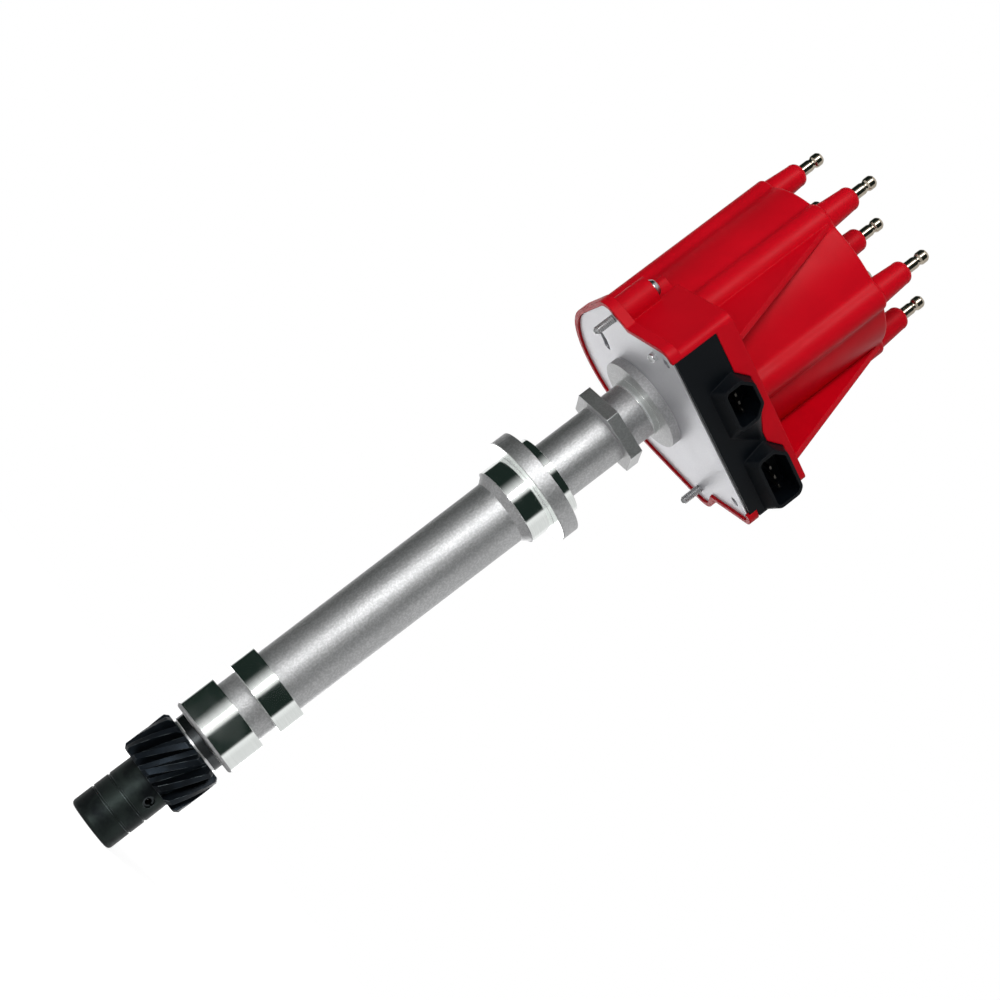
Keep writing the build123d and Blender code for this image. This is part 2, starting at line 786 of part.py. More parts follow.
def cap():
    rim_foot_z = plate_foot_z - rim_drop
    body = slab(fluted_outline(), plate_top_z, roof_top_z)
    body = fillet(body.edges().group_by(Axis.Z)[-1], body_edge_round)
    body += slab(box_outline(0), plate_top_z, shelf_top_z)
    for side in (-1, 1):
        web = link(pillar_radius, pillar_radius, side * cap_screw_x * 0.25, cap_screw_y * 0.25)
        web = Pos(side * cap_screw_x * 0.75, cap_screw_y * 0.75) * web
        body += slab(web, plate_top_z, pillar_top_z)
        body += rib(side * rib_x)
    body += slab(base_outline(rim_overhang + cover_gap), rim_foot_z, rim_foot_z + rim_height)
    for angle in electrode_angles:
        x, y = polar(tower_circle_radius, angle)
        body += Pos(x, y, 0) * tower(tower_top_z)
    body += tower(coil_tower_top_z)

    body -= rod(body_dia / 2 - cap_wall, plate_top_z, roof_foot_z)
    body -= slab(box_outline(cap_wall), plate_top_z, shelf_top_z - cap_wall)
    body -= slab(base_outline(cover_gap), rim_foot_z, plate_top_z)
    for angle in electrode_angles:
        x, y = polar(tower_circle_radius, angle)
        body += rod(electrode_boss_radius, electrode_shoulder_z(), roof_foot_z, x, y)
        body -= rod(stem_dia / 2 + seat_gap, electrode_tip_z, tower_top_z, x, y)
        pocket_top = electrode_shoulder_z() + seat_gap
        body -= rod(electrode_dia / 2 + seat_gap, electrode_tip_z - seat_gap, pocket_top, x, y)
    body += rod(button_holder_dia / 2, holder_foot_z, roof_foot_z)
    body -= rod(button_dia / 2 + seat_gap, holder_foot_z, button_bore_top_z())
    body -= rod(stem_dia / 2 + seat_gap, button_bore_top_z(), coil_tower_top_z)
    for side in (-1, 1):
        screw_x = side * cap_screw_x
        body -= rod(cap_screw_dia / 2 + seat_gap, rim_foot_z, pillar_top_z, screw_x, cap_screw_y)
        body -= rod(cap_screw_head_dia / 2 + seat_gap, pillar_top_z, roof_top_z, screw_x, cap_screw_y)
    return body - module_opening()


def electrode_shoulder_z():
    return electrode_tip_z + electrode_tip_length


def button_bore_top_z():
    return button_top_z + spring_length()


def spring_length():
    return button_travel + (spring_turns + 1) * spring_wire_dia + spring_slack


def module_opening():
    """What the module takes out of the cap: its face, its hoods, and the open end on the right."""
    face = offset(module_face_outline(plate_foot_z - 2 * rim_height), cover_gap)
    front = extrude(front_plane(box_front - cap_wall - cover_gap) * face, amount=3 * cap_wall)
    sill = plate_foot_z - rim_drop + rim_height
    end = Pos(box_half_width, -module_back, sill) * Box(
        2 * (box_half_width - module_sill_right),
        2 * (box_front - module_back),
        module_lip_z() + hood_base_crown + cover_gap - sill,
        align=(Align.CENTER, Align.MAX, Align.MIN),
    )
    return front + end


# ------------------------------------------------------------------ terminals
def post(x, y, seat_z, foot_z):
    """Male plug terminal: stem, body, neck and rounded head, turned round its own axis."""
    r = post_dia / 2
    neck = post_neck_dia / 2
    stem = stem_dia / 2
    h = post_height
    outline = make_face(Polyline(
        (0, foot_z),
        (stem, foot_z),
        (stem, seat_z),
        (r * 0.9, seat_z),
        (r * 0.9, seat_z + 0.42 * h),
        (neck, seat_z + 0.49 * h),
        (neck, seat_z + 0.54 * h),
        (r, seat_z + 0.64 * h),
        (r, seat_z + 0.86 * h),
        (r * 0.84, seat_z + 0.95 * h),
        (r * 0.5, seat_z + h),
        (0, seat_z + h),
        close=True,
    ))
    return Pos(x, y, 0) * revolve(Plane.XZ * outline, Axis.Z)


def plug_posts():
    made = []
    for angle in electrode_angles:
        x, y = polar(tower_circle_radius, angle)
        tip = rod(electrode_dia / 2, electrode_tip_z, electrode_shoulder_z(), x, y)
        made.append(post(x, y, tower_top_z, electrode_tip_z) + tip)
    return made


def coil_post():
    return post(0, 0, coil_tower_top_z, button_bore_top_z())


def coil_button():
    body = rod(button_dia / 2, button_foot_z, button_top_z)
    return fillet(body.edges().filter_by(GeomType.CIRCLE).group_by(Axis.Z)[0], button_end_round)


def button_spring():
    wire = spring_wire_dia / 2
    radius = button_dia / 2 - wire - spring_side_gap
    height = spring_length() - 2 * wire - 2 * spring_end_gap
    path = Helix(pitch=height / spring_turns, height=height, radius=radius)
    coil = sweep(Plane(path @ 0, z_dir=path % 0) * Circle(wire), path, is_frenet=True)
    return Pos(0, 0, button_top_z + wire + spring_end_gap) * coil


def cap_screws():
    return [
        pan_screw(
            side * cap_screw_x,
            cap_screw_y,
            plate_foot_z - cap_screw_tip,
            pillar_top_z,
            cap_screw_dia,
            cap_screw_head_dia,
            cap_screw_head_height,
        )
        for side in (-1, 1)
    ]


# ------------------------------------------------------------------ ignition module
def hood_outlines(left, right, flare_left, flare_right, shoulder_right):
    """Six-cornered outlines of a connector hood, (x, z): at the module's face and at the mouth."""
    crown = module_lip_z() + hood_base_crown
    foot = module_lip_z() + hood_base_foot
    base = flat([
        (left + hood_shoulder, crown),
        (right - shoulder_right, crown),
        (right + flare_right, crown - 1.3 * shoulder_right),
        (right + flare_right / 4, foot),
        (left, foot),
        (left - flare_left, crown - 1.3 * hood_shoulder),
    ])
    mouth_crown = module_lip_z() + hood_mouth_crown
    mouth_foot = module_lip_z() + hood_mouth_foot
    mouth = flat([
        (left + hood_shoulder, mouth_crown),
        (right - shoulder_right, mouth_crown),
        (right, mouth_crown - shoulder_right),
        (right, mouth_foot),
        (left, mouth_foot),
        (left, mouth_crown - hood_shoulder),
    ])
    return fillet(base.vertices(), hood_base_round), fillet(mouth.vertices(), hood_mouth_round)


def hoods():
    main = (main_hood_left, main_hood_right, main_hood_flare_left, main_hood_flare_right, hood_shoulder)
    timing = (
        timing_hood_left,
        timing_hood_right,
        timing_hood_flare_left,
        timing_hood_flare_right,
        timing_hood_shoulder_right,
    )
    return main, timing


def flat(points):
    return make_face(Polyline(*points, close=True))


def module_lip_z():
    """Height of the module's lower lip, which hangs over the plate's front edge."""
    return plate_top_z - module_lip_drop


def module_face_outline(foot):
    """Front view of the module down to a given height, (x, z): a plain bar with a bump for each hood."""
    sill = plate_foot_z - rim_drop + rim_height + cover_gap
    top = plate_top_z + module_top_height
    outline = flat([
        (module_left, foot),
        (module_sill_right, foot),
        (module_sill_right, sill),
        (module_right, sill),
        (module_right, top),
        (module_left, top),
    ])
    for hood in hoods():
        outline += hood_outlines(*hood)[0]
    return outline


def front_plane(depth):
    """Plane at a distance in front of the shaft, with x to the right and z up, facing outwards."""
    return Plane(origin=(0, -depth, 0), x_dir=(1, 0, 0), z_dir=(0, -1, 0))


def ignition_module():
    face = front_plane(module_face) * module_face_outline(module_lip_z())
    body = extrude(face, amount=-module_lip_thickness)
    block_width = module_right - module_left - 2 * module_round
    block_middle = (module_right + module_left) / 2
    depth = module_face - module_lip_thickness - module_back
    body += Pos(block_middle, -module_back, module_foot_z) * Box(
        block_width,
        depth,
        module_top_height - module_plate_thickness - module_round,
        align=(Align.CENTER, Align.MAX, Align.MIN),
    )
    for hood in hoods():
        base, mouth = hood_outlines(*hood)
        near = front_plane(module_face) * base
        far = front_plane(module_face + hood_reach) * mouth
        body += loft([near.face(), far.face()])
        body += extrude(front_plane(module_face) * mouth, amount=hood_reach - socket_depth - hood_wall)
        recess = offset(mouth, -hood_wall)
        body -= extrude(front_plane(module_face + hood_reach) * recess, amount=-socket_depth)
    for x in module_screw_places:
        body -= rod(module_screw_head_dia / 2 + 0.4, module_foot_z, shelf_top_z, x, module_screw_y)
    return body


def module_base_plate():
    width = module_sill_right - module_left - 2 * module_round
    middle = (module_sill_right + module_left) / 2
    plate = Pos(middle, -plate_front, plate_top_z) * Box(
        width, module_plate_depth, module_plate_thickness, align=(Align.CENTER, Align.MIN, Align.MIN)
    )
    for x in module_screw_places:
        plate -= rod(module_screw_dia / 2 + seat_gap, plate_top_z, module_foot_z, x, module_screw_y)
    return plate - rod(dowel_dia / 2 + seat_gap, plate_top_z, module_foot_z, dowel_x, dowel_y)


def module_screws():
    return [
        pan_screw(
            x,
            module_screw_y,
            plate_top_z - module_screw_bite,
            module_foot_z,
            module_screw_dia,
            module_screw_head_dia,
            module_screw_head_height,
        )
        for x in module_screw_places
    ]


def module_dowel():
    body = rod(dowel_dia / 2, plate_foot_z - dowel_tip, module_foot_z - seat_gap, dowel_x, dowel_y)
    return fillet(body.edges().filter_by(GeomType.CIRCLE).group_by(Axis.Z)[0], dowel_dia / 2 - 0.3)


def connector_pins(left, right):
    """Flat blades in one row, standing out of the socket's floor."""
    floor = module_face + hood_reach - socket_depth
    pitch = (right - left) / (pin_count + 1)
    row_z = module_lip_z() + (hood_mouth_foot + hood_mouth_crown) / 2
    return [
        Pos(left + pitch * (k + 1), -floor, row_z) * Box(
            pin_width, pin_length, pin_thickness, align=(Align.CENTER, Align.MAX, Align.CENTER)
        )
        for k in range(pin_count)
    ]


# ------------------------------------------------------------------ one file for each node
save("housing", housing())
save("lower_bushing", bushing(housing_foot_z, housing_foot_z + lower_bushing_length))
save("upper_bushing", bushing(hub_top_z - upper_bushing_length, hub_top_z))
save("shaft", shaft())
save("drive_gear", drive_gear())
save("gear_pin", gear_pin())
save("thrust_washer", washer(thrust_washer_dia, thrust_washer_z, thrust_washer_thickness))
save("shim_washer", washer(shim_dia, shim_z, shim_thickness))
save("pickup_plate", pickup_plate())
save("pickup_magnet", pickup_magnet())
save("coil_bobbin", coil_bobbin())
save("coil_winding", coil_winding())
save("pole_piece", pole_piece())
save("pickup_clip", pickup_clip())
save("pickup_leads", *pickup_leads())
save("pickup_plug", pickup_plug())
save("timer_core", timer_core())
save("rotor_body", rotor_body())
save("rotor_segment", rotor_segment())
save("rotor_spring", rotor_spring())
save("rotor_screws", *rotor_screws())
save("cap", cap())
save("plug_posts", *plug_posts())
save("coil_post", coil_post())
save("coil_button", coil_button())
save("button_spring", button_spring())
save("cap_screws", *cap_screws())
save("ignition_module", ignition_module())
save("module_base_plate", module_base_plate())
save("module_screws", *module_screws())
save("module_dowel", module_dowel())
save("main_connector_pins", *connector_pins(main_hood_left, main_hood_right))
save("timing_connector_pins", *connector_pins(timing_hood_left, timing_hood_right))
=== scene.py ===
import json
from math import atan2, cos, pi, radians, sin

import bmesh
import bpy
from bpy.props import FloatProperty, FloatVectorProperty, IntProperty, PointerProperty
from mathutils import Matrix, Vector


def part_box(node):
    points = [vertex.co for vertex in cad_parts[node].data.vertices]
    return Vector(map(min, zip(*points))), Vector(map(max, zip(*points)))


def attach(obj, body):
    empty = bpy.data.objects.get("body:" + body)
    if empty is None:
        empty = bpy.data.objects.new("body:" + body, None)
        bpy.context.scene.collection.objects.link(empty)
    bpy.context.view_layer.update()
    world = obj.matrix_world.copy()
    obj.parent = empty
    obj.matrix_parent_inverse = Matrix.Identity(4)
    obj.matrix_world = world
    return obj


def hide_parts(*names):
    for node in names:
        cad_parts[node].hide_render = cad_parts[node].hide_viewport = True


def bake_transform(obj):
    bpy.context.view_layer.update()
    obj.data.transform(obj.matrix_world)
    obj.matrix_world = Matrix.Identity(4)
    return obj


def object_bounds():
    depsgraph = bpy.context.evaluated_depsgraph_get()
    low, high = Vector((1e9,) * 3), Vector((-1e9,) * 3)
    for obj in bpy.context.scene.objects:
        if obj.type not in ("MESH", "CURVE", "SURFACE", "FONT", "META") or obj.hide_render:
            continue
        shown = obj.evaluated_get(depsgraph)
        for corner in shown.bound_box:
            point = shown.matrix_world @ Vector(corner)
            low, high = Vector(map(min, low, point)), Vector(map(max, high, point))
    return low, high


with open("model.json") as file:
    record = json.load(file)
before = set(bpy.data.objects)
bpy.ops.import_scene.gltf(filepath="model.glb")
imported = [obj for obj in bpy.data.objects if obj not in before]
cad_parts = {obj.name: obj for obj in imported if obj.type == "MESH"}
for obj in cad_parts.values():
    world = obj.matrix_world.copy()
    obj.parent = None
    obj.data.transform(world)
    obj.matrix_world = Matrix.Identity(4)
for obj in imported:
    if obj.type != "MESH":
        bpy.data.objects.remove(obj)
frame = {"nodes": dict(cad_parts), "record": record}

bl_info = {
    "name": "Distributor Studio",
    "version": (1, 0, 0),
    "blender": (4, 5, 0),
    "location": "3D View > Sidebar > Distributor",
    "description": "Dresses an ignition distributor in its finishes and sets a white studio",
    "category": "Object",
}

MM = 0.001
CAD_LOW, CAD_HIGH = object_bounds()
MOUNTS = {m["name"]: m for m in frame["record"]["mounts"]}
BODY_OF = {
    node: body
    for body, nodes in frame["record"]["behaviour"]["bodies"].items()
    for node in nodes
}

# Housing: collar, spanner flats and step under the plate, in millimetres over the flange's seat,
# and how smooth each is. What lies above PLATE_FOOT is the plate, coloured paler as painted light
# for its brightly lit underside.
SMOOTH_ABOVE_FLANGE = ((6.95, 11.05, 1.0), (37.65, 42.95, 0.2), (52.85, 55.75, 1.0))
BAND_OVERLAP = 0.05 * MM
PLATE_FOOT = MOUNTS["flange_seat"]["pos_m"][2] + 59.6 * MM
PLATE_PAINTED_LIGHT_COLOUR = (0.76, 0.76, 0.79)
PLATE_PAINTED_LIGHT_SHARE = 0.8

# Casting: depth of the blasted grain, share of it that the turned rings have, and rubbed edges.
CAST_GRAIN_DEPTH = 0.085 * MM
TURNED_RING_SHARE = 0.018
CAST_RUBBED = (0.9, 0.9, 0.91)

# Gear: length of its teeth from the upper end; darkest blotches, rubbed edges and grain.
TOOTHED_LENGTH = 20.05 * MM
OXIDE_DEEP = (0.008, 0.010, 0.012)
OXIDE_BARE = (0.24, 0.28, 0.29)
OXIDE_GRAIN_DEPTH = 0.02 * MM

# Terminals: the head stands on its seat and the rod runs down inside the cap to the electrode.
TERMINAL_RADIUS = 2.7 * MM
TERMINAL_NECK = 2.1 * MM
TERMINAL_ROUND = 0.45 * MM
TERMINAL_HEIGHT = 10.6 * MM
ROD_RADIUS = 2.0 * MM
ELECTRODE_LENGTH = 7.5 * MM

# Cap screws.
SCREW_HEAD_HEIGHT = 3.0 * MM
SCREW_HEAD_ROUND = 0.9 * MM
SCREW_TIP_LENGTH = 1.0 * MM
SCREW_TIP_TAPER = 0.9 * MM
SCREW_DRIVE_EDGE = 0.12 * MM

# Studio, in metres and degrees, with the sensor's width in millimetres. Angles run to the right
# round the shaft, from the camera.
SENSOR_WIDTH = 36.0
FLOOR_RADIUS = 6.0
FLOOR_DROP = 0.1 * MM
# Glow of the floor: two distances out from the shaft, and the level that it has at each.
FLOOR_TO_CAMERA = (0.25, 1.0, 0.80, 1.0)
# To shiny surfaces the floor glows little near the shaft: a painted shade under the part.
FLOOR_TO_METAL_PAINTED_SHADE = (0.45, 1.3, 0.10, 1.05)
LIGHT_DISTANCE = 1.0
LIGHT_AIM = (0.0, 0.0, 0.02)
# Name, power setting, angle, height, width and length, and whether shiny surfaces show it.
LIGHTS = (
    ("key", "key_power", -16, 0.45, (0.24, 1.2), True),
    ("fill", "fill_power", 60, 0.3, (0.5, 0.5), False),
    ("low back", "back_power", 172, -0.1, (0.9, 0.18), True),
)
# Flags are nearly black cloths that only shiny surfaces see, with a trace of green glow.
FLAG_RADIUS = 1.15
FLAG_SEGMENTS = 24
FLAG_COLOUR = (0.42, 0.72, 0.60, 1.0)
FLAG_GLOW = 0.032
# Name, angles of its two edges, lowest and highest point, how wide each edge fades, and density.
FLAGS = (
    ("left flag", (-143, -16), (-0.2, 2.6), (6, 44), 1.0),
    ("right flag", (-6, 72), (-0.2, 2.6), (12, 10), 1.0),
    ("grey net", (72, 150), (-0.2, 2.6), (20, 20), 0.16),
    ("back flag", (172, 213), (0.1, 2.6), (10, 10), 0.9),
)


# ---------------------------------------------------------------- node building
def tree_of(material):
    """Empties a material's node tree and gives it back with its output node."""
    material.use_nodes = True
    tree = material.node_tree
    tree.nodes.clear()
    return tree, tree.nodes.new("ShaderNodeOutputMaterial")


def put(tree, kind, inputs=None, **settings):
    """Adds a node, sets its properties, and sets or links its inputs."""
    node = tree.nodes.new(kind)
    for key, value in settings.items():
        setattr(node, key, value)
    for key, value in (inputs or {}).items():
        socket = node.inputs[key]
        if isinstance(value, bpy.types.NodeSocket):
            tree.links.new(value, socket)
        else:
            socket.default_value = value
    return node


def object_place(tree):
    """Place of the shaded point in the part's own frame."""
    return tree.nodes.new("ShaderNodeTexCoord").outputs["Object"]


def object_height(tree):
    """Height of the shaded point in the part's own frame."""
    return put(tree, "ShaderNodeSeparateXYZ", {"Vector": object_place(tree)}).outputs["Z"]


def maths(tree, operation, a, b=0.0, clamp=False):
    node = put(tree, "ShaderNodeMath", {0: a, 1: b}, operation=operation, use_clamp=clamp)
    return node.outputs[0]


def remap(tree, value, low, high, to_low=0.0, to_high=1.0):
    node = put(
        tree,
        "ShaderNodeMapRange",
        {"Value": value, "From Min": low, "From Max": high, "To Min": to_low, "To Max": to_high},
        interpolation_type="SMOOTHSTEP",
    )
    return node.outputs["Result"]


def mix_values(tree, factor, a, b):
    node = put(tree, "ShaderNodeMix", {"Factor": factor, "A": a, "B": b}, data_type="FLOAT")
    return node.outputs["Result"]


def mix_colours(tree, factor, a, b):
    """Mixes two colours, each a socket or three numbers, by a socket's value."""
    node = tree.nodes.new("ShaderNodeMix")
    node.data_type = "RGBA"
    tree.links.new(factor, node.inputs[0])
    for socket, value in ((node.inputs[6], a), (node.inputs[7], b)):
        if isinstance(value, bpy.types.NodeSocket):
            tree.links.new(value, socket)
        else:
            socket.default_value = tuple(value)[:3] + (1.0,)
    return node.outputs[2]


def effect_group(name, inputs, outputs):
    """New shader node group with named float inputs and typed outputs."""
    tree = bpy.data.node_groups.new(name, "ShaderNodeTree")
    for label, default in inputs:
        socket = tree.interface.new_socket(
            name=label, in_out="INPUT", socket_type="NodeSocketFloat"
        )
        socket.default_value = default
    for label, kind in outputs:
        tree.interface.new_socket(name=label, in_out="OUTPUT", socket_type=kind)
    return tree, tree.nodes.new("NodeGroupInput"), tree.nodes.new("NodeGroupOutput")


def place_group(tree, name, inputs=None):
    """Puts a shared effect into a material and sets its inputs."""
    node = tree.nodes.new("ShaderNodeGroup")
    node.node_tree = bpy.data.node_groups[name]
    for key, value in (inputs or {}).items():
        node.inputs[key].default_value = value
    return node


# ---------------------------------------------------------------- shared effects
def build_soft_edges():
    """Rounded look for sharp edges, and a mask of the edges: where hands and tools rub them on
    metal, and where mouldings get a painted highlight.
    """
    tree, entry, exit_node = effect_group(
        "Soft Edges",
        [("Radius", 0.4 * MM), ("Rub", 0.5)],
        [("Normal", "NodeSocketVector"), ("Rubbed", "NodeSocketFloat")],
    )
    bevel = put(tree, "ShaderNodeBevel", {"Radius": entry.outputs["Radius"]}, samples=6)
    plain = tree.nodes.new("ShaderNodeNewGeometry")
    turn = put(
        tree,
        "ShaderNodeVectorMath",
        {0: bevel.outputs[0], 1: plain.outputs["Normal"]},
        operation="DOT_PRODUCT",
    )
    edge = remap(tree, turn.outputs["Value"], 0.995, 0.80)
    patches = put(
        tree,
        "ShaderNodeTexNoise",
        {"Vector": object_place(tree), "Scale": 260.0, "Detail": 3.0},
    )
    patchy = remap(tree, patches.outputs[0], 0.38, 0.62)
    # This mask is wear on metal and a painted highlight on mouldings.
    rubbed = maths(tree, "MULTIPLY", maths(tree, "MULTIPLY", edge, patchy), entry.outputs["Rub"])
    tree.links.new(bevel.outputs[0], exit_node.inputs["Normal"])
    tree.links.new(rubbed, exit_node.inputs["Rubbed"])


def build_cast_grain():
    """Fine blasted grain with slow blotches, as on a sand-blasted casting or a moulding."""
    tree, entry, exit_node = effect_group(
        "Cast Grain",
        [("Grain Per Metre", 2600.0), ("Blotches Per Metre", 70.0)],
        [(label, "NodeSocketFloat") for label in ("Height", "Blotch", "Speckle")],
    )
    where = object_place(tree)
    grains = entry.outputs["Grain Per Metre"]
    blotches = entry.outputs["Blotches Per Metre"]
    fine = put(
        tree,
        "ShaderNodeTexNoise",
        {"Vector": where, "Scale": grains, "Detail": 2.0, "Roughness": 0.6},
    )
    pits = put(tree, "ShaderNodeTexVoronoi", {"Vector": where, "Scale": grains})
    slow = put(
        tree,
        "ShaderNodeTexNoise",
        {"Vector": where, "Scale": blotches, "Detail": 4.0, "Roughness": 0.55},
    )
    pitted = maths(tree, "MULTIPLY", pits.outputs["Distance"], 0.35)
    height = maths(tree, "ADD", fine.outputs[0], pitted)
    tree.links.new(height, exit_node.inputs["Height"])
    tree.links.new(slow.outputs[0], exit_node.inputs["Blotch"])
    tree.links.new(remap(tree, fine.outputs[0], 0.42, 0.62), exit_node.inputs["Speckle"])


def build_turning_marks():
    """Fine rings that a lathe leaves round the shaft's axis."""
    tree, entry, exit_node = effect_group(
        "Turning Marks",
        [("Rings Per Metre", 5200.0)],
        [("Height", "NodeSocketFloat"), ("Streak", "NodeSocketFloat")],
    )
    split = put(tree, "ShaderNodeSeparateXYZ", {"Vector": object_place(tree)})
    along = maths(tree, "MULTIPLY", split.outputs["Z"], entry.outputs["Rings Per Metre"])
    across_x = maths(tree, "MULTIPLY", split.outputs["X"], 60.0)
    across_y = maths(tree, "MULTIPLY", split.outputs["Y"], 60.0)
    stretched = put(tree, "ShaderNodeCombineXYZ", {"X": across_x, "Y": across_y, "Z": along})
    rings = put(
        tree,
        "ShaderNodeTexNoise",
        {"Vector": stretched.outputs[0], "Scale": 1.0, "Detail": 3.0, "Roughness": 0.7},
    )
    tree.links.new(rings.outputs[0], exit_node.inputs["Height"])
    tree.links.new(remap(tree, rings.outputs[0], 0.35, 0.65), exit_node.inputs["Streak"])


def build_handling():
    """Faint smears left by oil and handling."""
    tree, entry, exit_node = effect_group(
        "Handling", [("Smears Per Metre", 45.0)], [("Smear", "NodeSocketFloat")]
    )
    smears = entry.outputs["Smears Per Metre"]
    cloud = put(
        tree,
        "ShaderNodeTexNoise",
        {"Vector": object_place(tree), "Scale": smears, "Detail": 5.0, "Distortion": 0.8},
    )
    tree.links.new(remap(tree, cloud.outputs[0], 0.42, 0.66), exit_node.inputs["Smear"])


def build_band_mask():
    """One on the housing's machined bands, and nought on the blasted casting between them."""
    tree, _, exit_node = effect_group("Machined Bands", [], [("Machined", "NodeSocketFloat")])
    height = object_height(tree)
    total = 0.0
    for low, high, smooth in machined_spans():
        above = maths(tree, "GREATER_THAN", height, low)
        below = maths(tree, "LESS_THAN", height, high)
        inside = maths(tree, "MULTIPLY", maths(tree, "MULTIPLY", above, below), smooth)
        total = maths(tree, "ADD", inside, total, clamp=True)
    tree.links.new(total, exit_node.inputs["Machined"])


def machined_spans():
    """Lowest and highest point of each machined band in metres, and how smooth it is."""
    def length(name):
        return MOUNTS[name]["dims"]["length_mm"] * MM

    pilot = MOUNTS["pilot"]["pos_m"][2]
    spans = [(pilot - length("pilot"), pilot + BAND_OVERLAP, 1.0)]
    spans += [(low * MM, high * MM, smooth) for low, high, smooth in SMOOTH_ABOVE_FLANGE]
    for name in ("upper_seal_ring", "lower_seal_ring"):
        middle = MOUNTS[name]["pos_m"][2]
        reach = length(name) / 2 + BAND_OVERLAP
        spans.append((middle - reach, middle + reach, 1.0))
    return spans


# ---------------------------------------------------------------- finishes
def finish_base(name, colour):
    """New material with a plain Principled shader, and the colour it shows in the viewport."""
    material = bpy.data.materials.new(name)
    material.diffuse_color = tuple(colour)[:3] + (1.0,)
    tree, output = tree_of(material)
    shader = tree.nodes.new("ShaderNodeBsdfPrincipled")
    tree.links.new(shader.outputs[0], output.inputs["Surface"])
    return material, tree, shader


def bump(tree, height, distance, normal):
    """Normal that a height pattern tilts, at full strength."""
    inputs = {"Height": height, "Distance": distance, "Strength": 1.0, "Normal": normal}
    return put(tree, "ShaderNodeBump", inputs).outputs[0]


def connect(tree, shader, colour, rough, normal, metallic=0.0):
    """Links a finish's colour, roughness and normal to its shader."""
    tree.links.new(colour, shader.inputs["Base Color"])
    tree.links.new(rough, shader.inputs["Roughness"])
    tree.links.new(normal, shader.inputs["Normal"])
    shader.inputs["Metallic"].default_value = metallic


def dimmed(colour, share):
    return [c * share for c in colour]


def cast_aluminium(settings):
    """Blasted casting; the machined bands are turned smooth and bright."""
    material, tree, shader = finish_base("cast aluminium", settings.casting)
    edges = place_group(tree, "Soft Edges", {"Radius": 0.35 * MM, "Rub": 0.6})
    grain = place_group(tree, "Cast Grain", {"Grain Per Metre": 1250.0, "Blotches Per Metre": 60.0})
    rings = place_group(tree, "Turning Marks", {"Rings Per Metre": 4200.0})
    handling = place_group(tree, "Handling", {"Smears Per Metre": 60.0})
    machined = place_group(tree, "Machined Bands").outputs["Machined"]
    casting, turned = settings.casting, settings.turned
    speckled = mix_colours(tree, grain.outputs["Speckle"], dimmed(casting, 0.80), casting)
    blotches = remap(tree, grain.outputs["Blotch"], 0.35, 0.7, 0.0, 0.22)
    blotched = mix_colours(tree, blotches, speckled, dimmed(casting, 0.78))
    # The plate is painted paler: painted light that stands in for its brightly lit underside.
    on_plate = maths(tree, "GREATER_THAN", object_height(tree), PLATE_FOOT)
    plate_light_share = maths(tree, "MULTIPLY", on_plate, PLATE_PAINTED_LIGHT_SHARE)
    with_plate_painted_light = mix_colours(tree, plate_light_share, blotched, PLATE_PAINTED_LIGHT_COLOUR)
    streaked = mix_colours(tree, rings.outputs["Streak"], dimmed(turned, 0.90), turned)
    colour = mix_colours(tree, machined, with_plate_painted_light, streaked)
    with_light_edges = mix_colours(tree, edges.outputs["Rubbed"], colour, CAST_RUBBED)
    roughness = settings.casting_roughness
    rough_cast = mix_values(tree, grain.outputs["Blotch"], roughness - 0.06, roughness + 0.08)
    rough_turned = mix_values(tree, handling.outputs["Smear"], 0.08, 0.12)
    rough = mix_values(tree, machined, rough_cast, rough_turned)
    low_rings = maths(tree, "MULTIPLY", rings.outputs["Height"], TURNED_RING_SHARE)
    height = mix_values(tree, machined, grain.outputs["Height"], low_rings)
    normal = bump(tree, height, CAST_GRAIN_DEPTH, edges.outputs["Normal"])
    connect(tree, shader, with_light_edges, rough, normal, metallic=1.0)
    return material


def bright_metal(name, colour, roughness, rings=3800.0, height=0.004):
    """Turned or ground metal with fine rings and faint smears."""
    material, tree, shader = finish_base(name, colour)
    edges = place_group(tree, "Soft Edges", {"Radius": 0.2 * MM, "Rub": 0.5})
    marks = place_group(tree, "Turning Marks", {"Rings Per Metre": rings})
    handling = place_group(tree, "Handling")
    body = mix_colours(tree, marks.outputs["Streak"], dimmed(colour, 0.82), colour)
    brighter = [min(1.0, c * 1.15) for c in colour]
    with_light_edges = mix_colours(tree, edges.outputs["Rubbed"], body, brighter)
    rough = mix_values(tree, handling.outputs["Smear"], roughness, roughness + 0.1)
    normal = bump(tree, marks.outputs["Height"], height * MM, edges.outputs["Normal"])
    connect(tree, shader, with_light_edges, rough, normal, metallic=1.0)
    return material


def black_oxide(settings):
    """Hardened steel with a dark oxide skin, bare and brighter where the edges rub."""
    material, tree, shader = finish_base("black oxide steel", settings.oxide)
    edges = place_group(tree, "Soft Edges", {"Radius": 0.28 * MM, "Rub": 0.9})
    grain = place_group(
        tree, "Cast Grain", {"Grain Per Metre": 1500.0, "Blotches Per Metre": 120.0}
    )
    handling = place_group(tree, "Handling", {"Smears Per Metre": 90.0})
    teeth_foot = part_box("drive_gear")[1].z - TOOTHED_LENGTH
    teeth = maths(tree, "GREATER_THAN", object_height(tree), teeth_foot)
    skin = mix_colours(tree, teeth, settings.sleeve, settings.oxide)
    blotches = remap(tree, grain.outputs["Blotch"], 0.3, 0.7)
    deep = mix_colours(tree, blotches, OXIDE_DEEP, skin)
    oily = mix_colours(tree, handling.outputs["Smear"], deep, skin)
    with_light_edges = mix_colours(tree, edges.outputs["Rubbed"], oily, OXIDE_BARE)
    rough = mix_values(tree, grain.outputs["Blotch"], 0.34, 0.50)
    normal = bump(tree, grain.outputs["Height"], OXIDE_GRAIN_DEPTH, edges.outputs["Normal"])
    connect(tree, shader, with_light_edges, rough, normal, metallic=0.9)
    return material


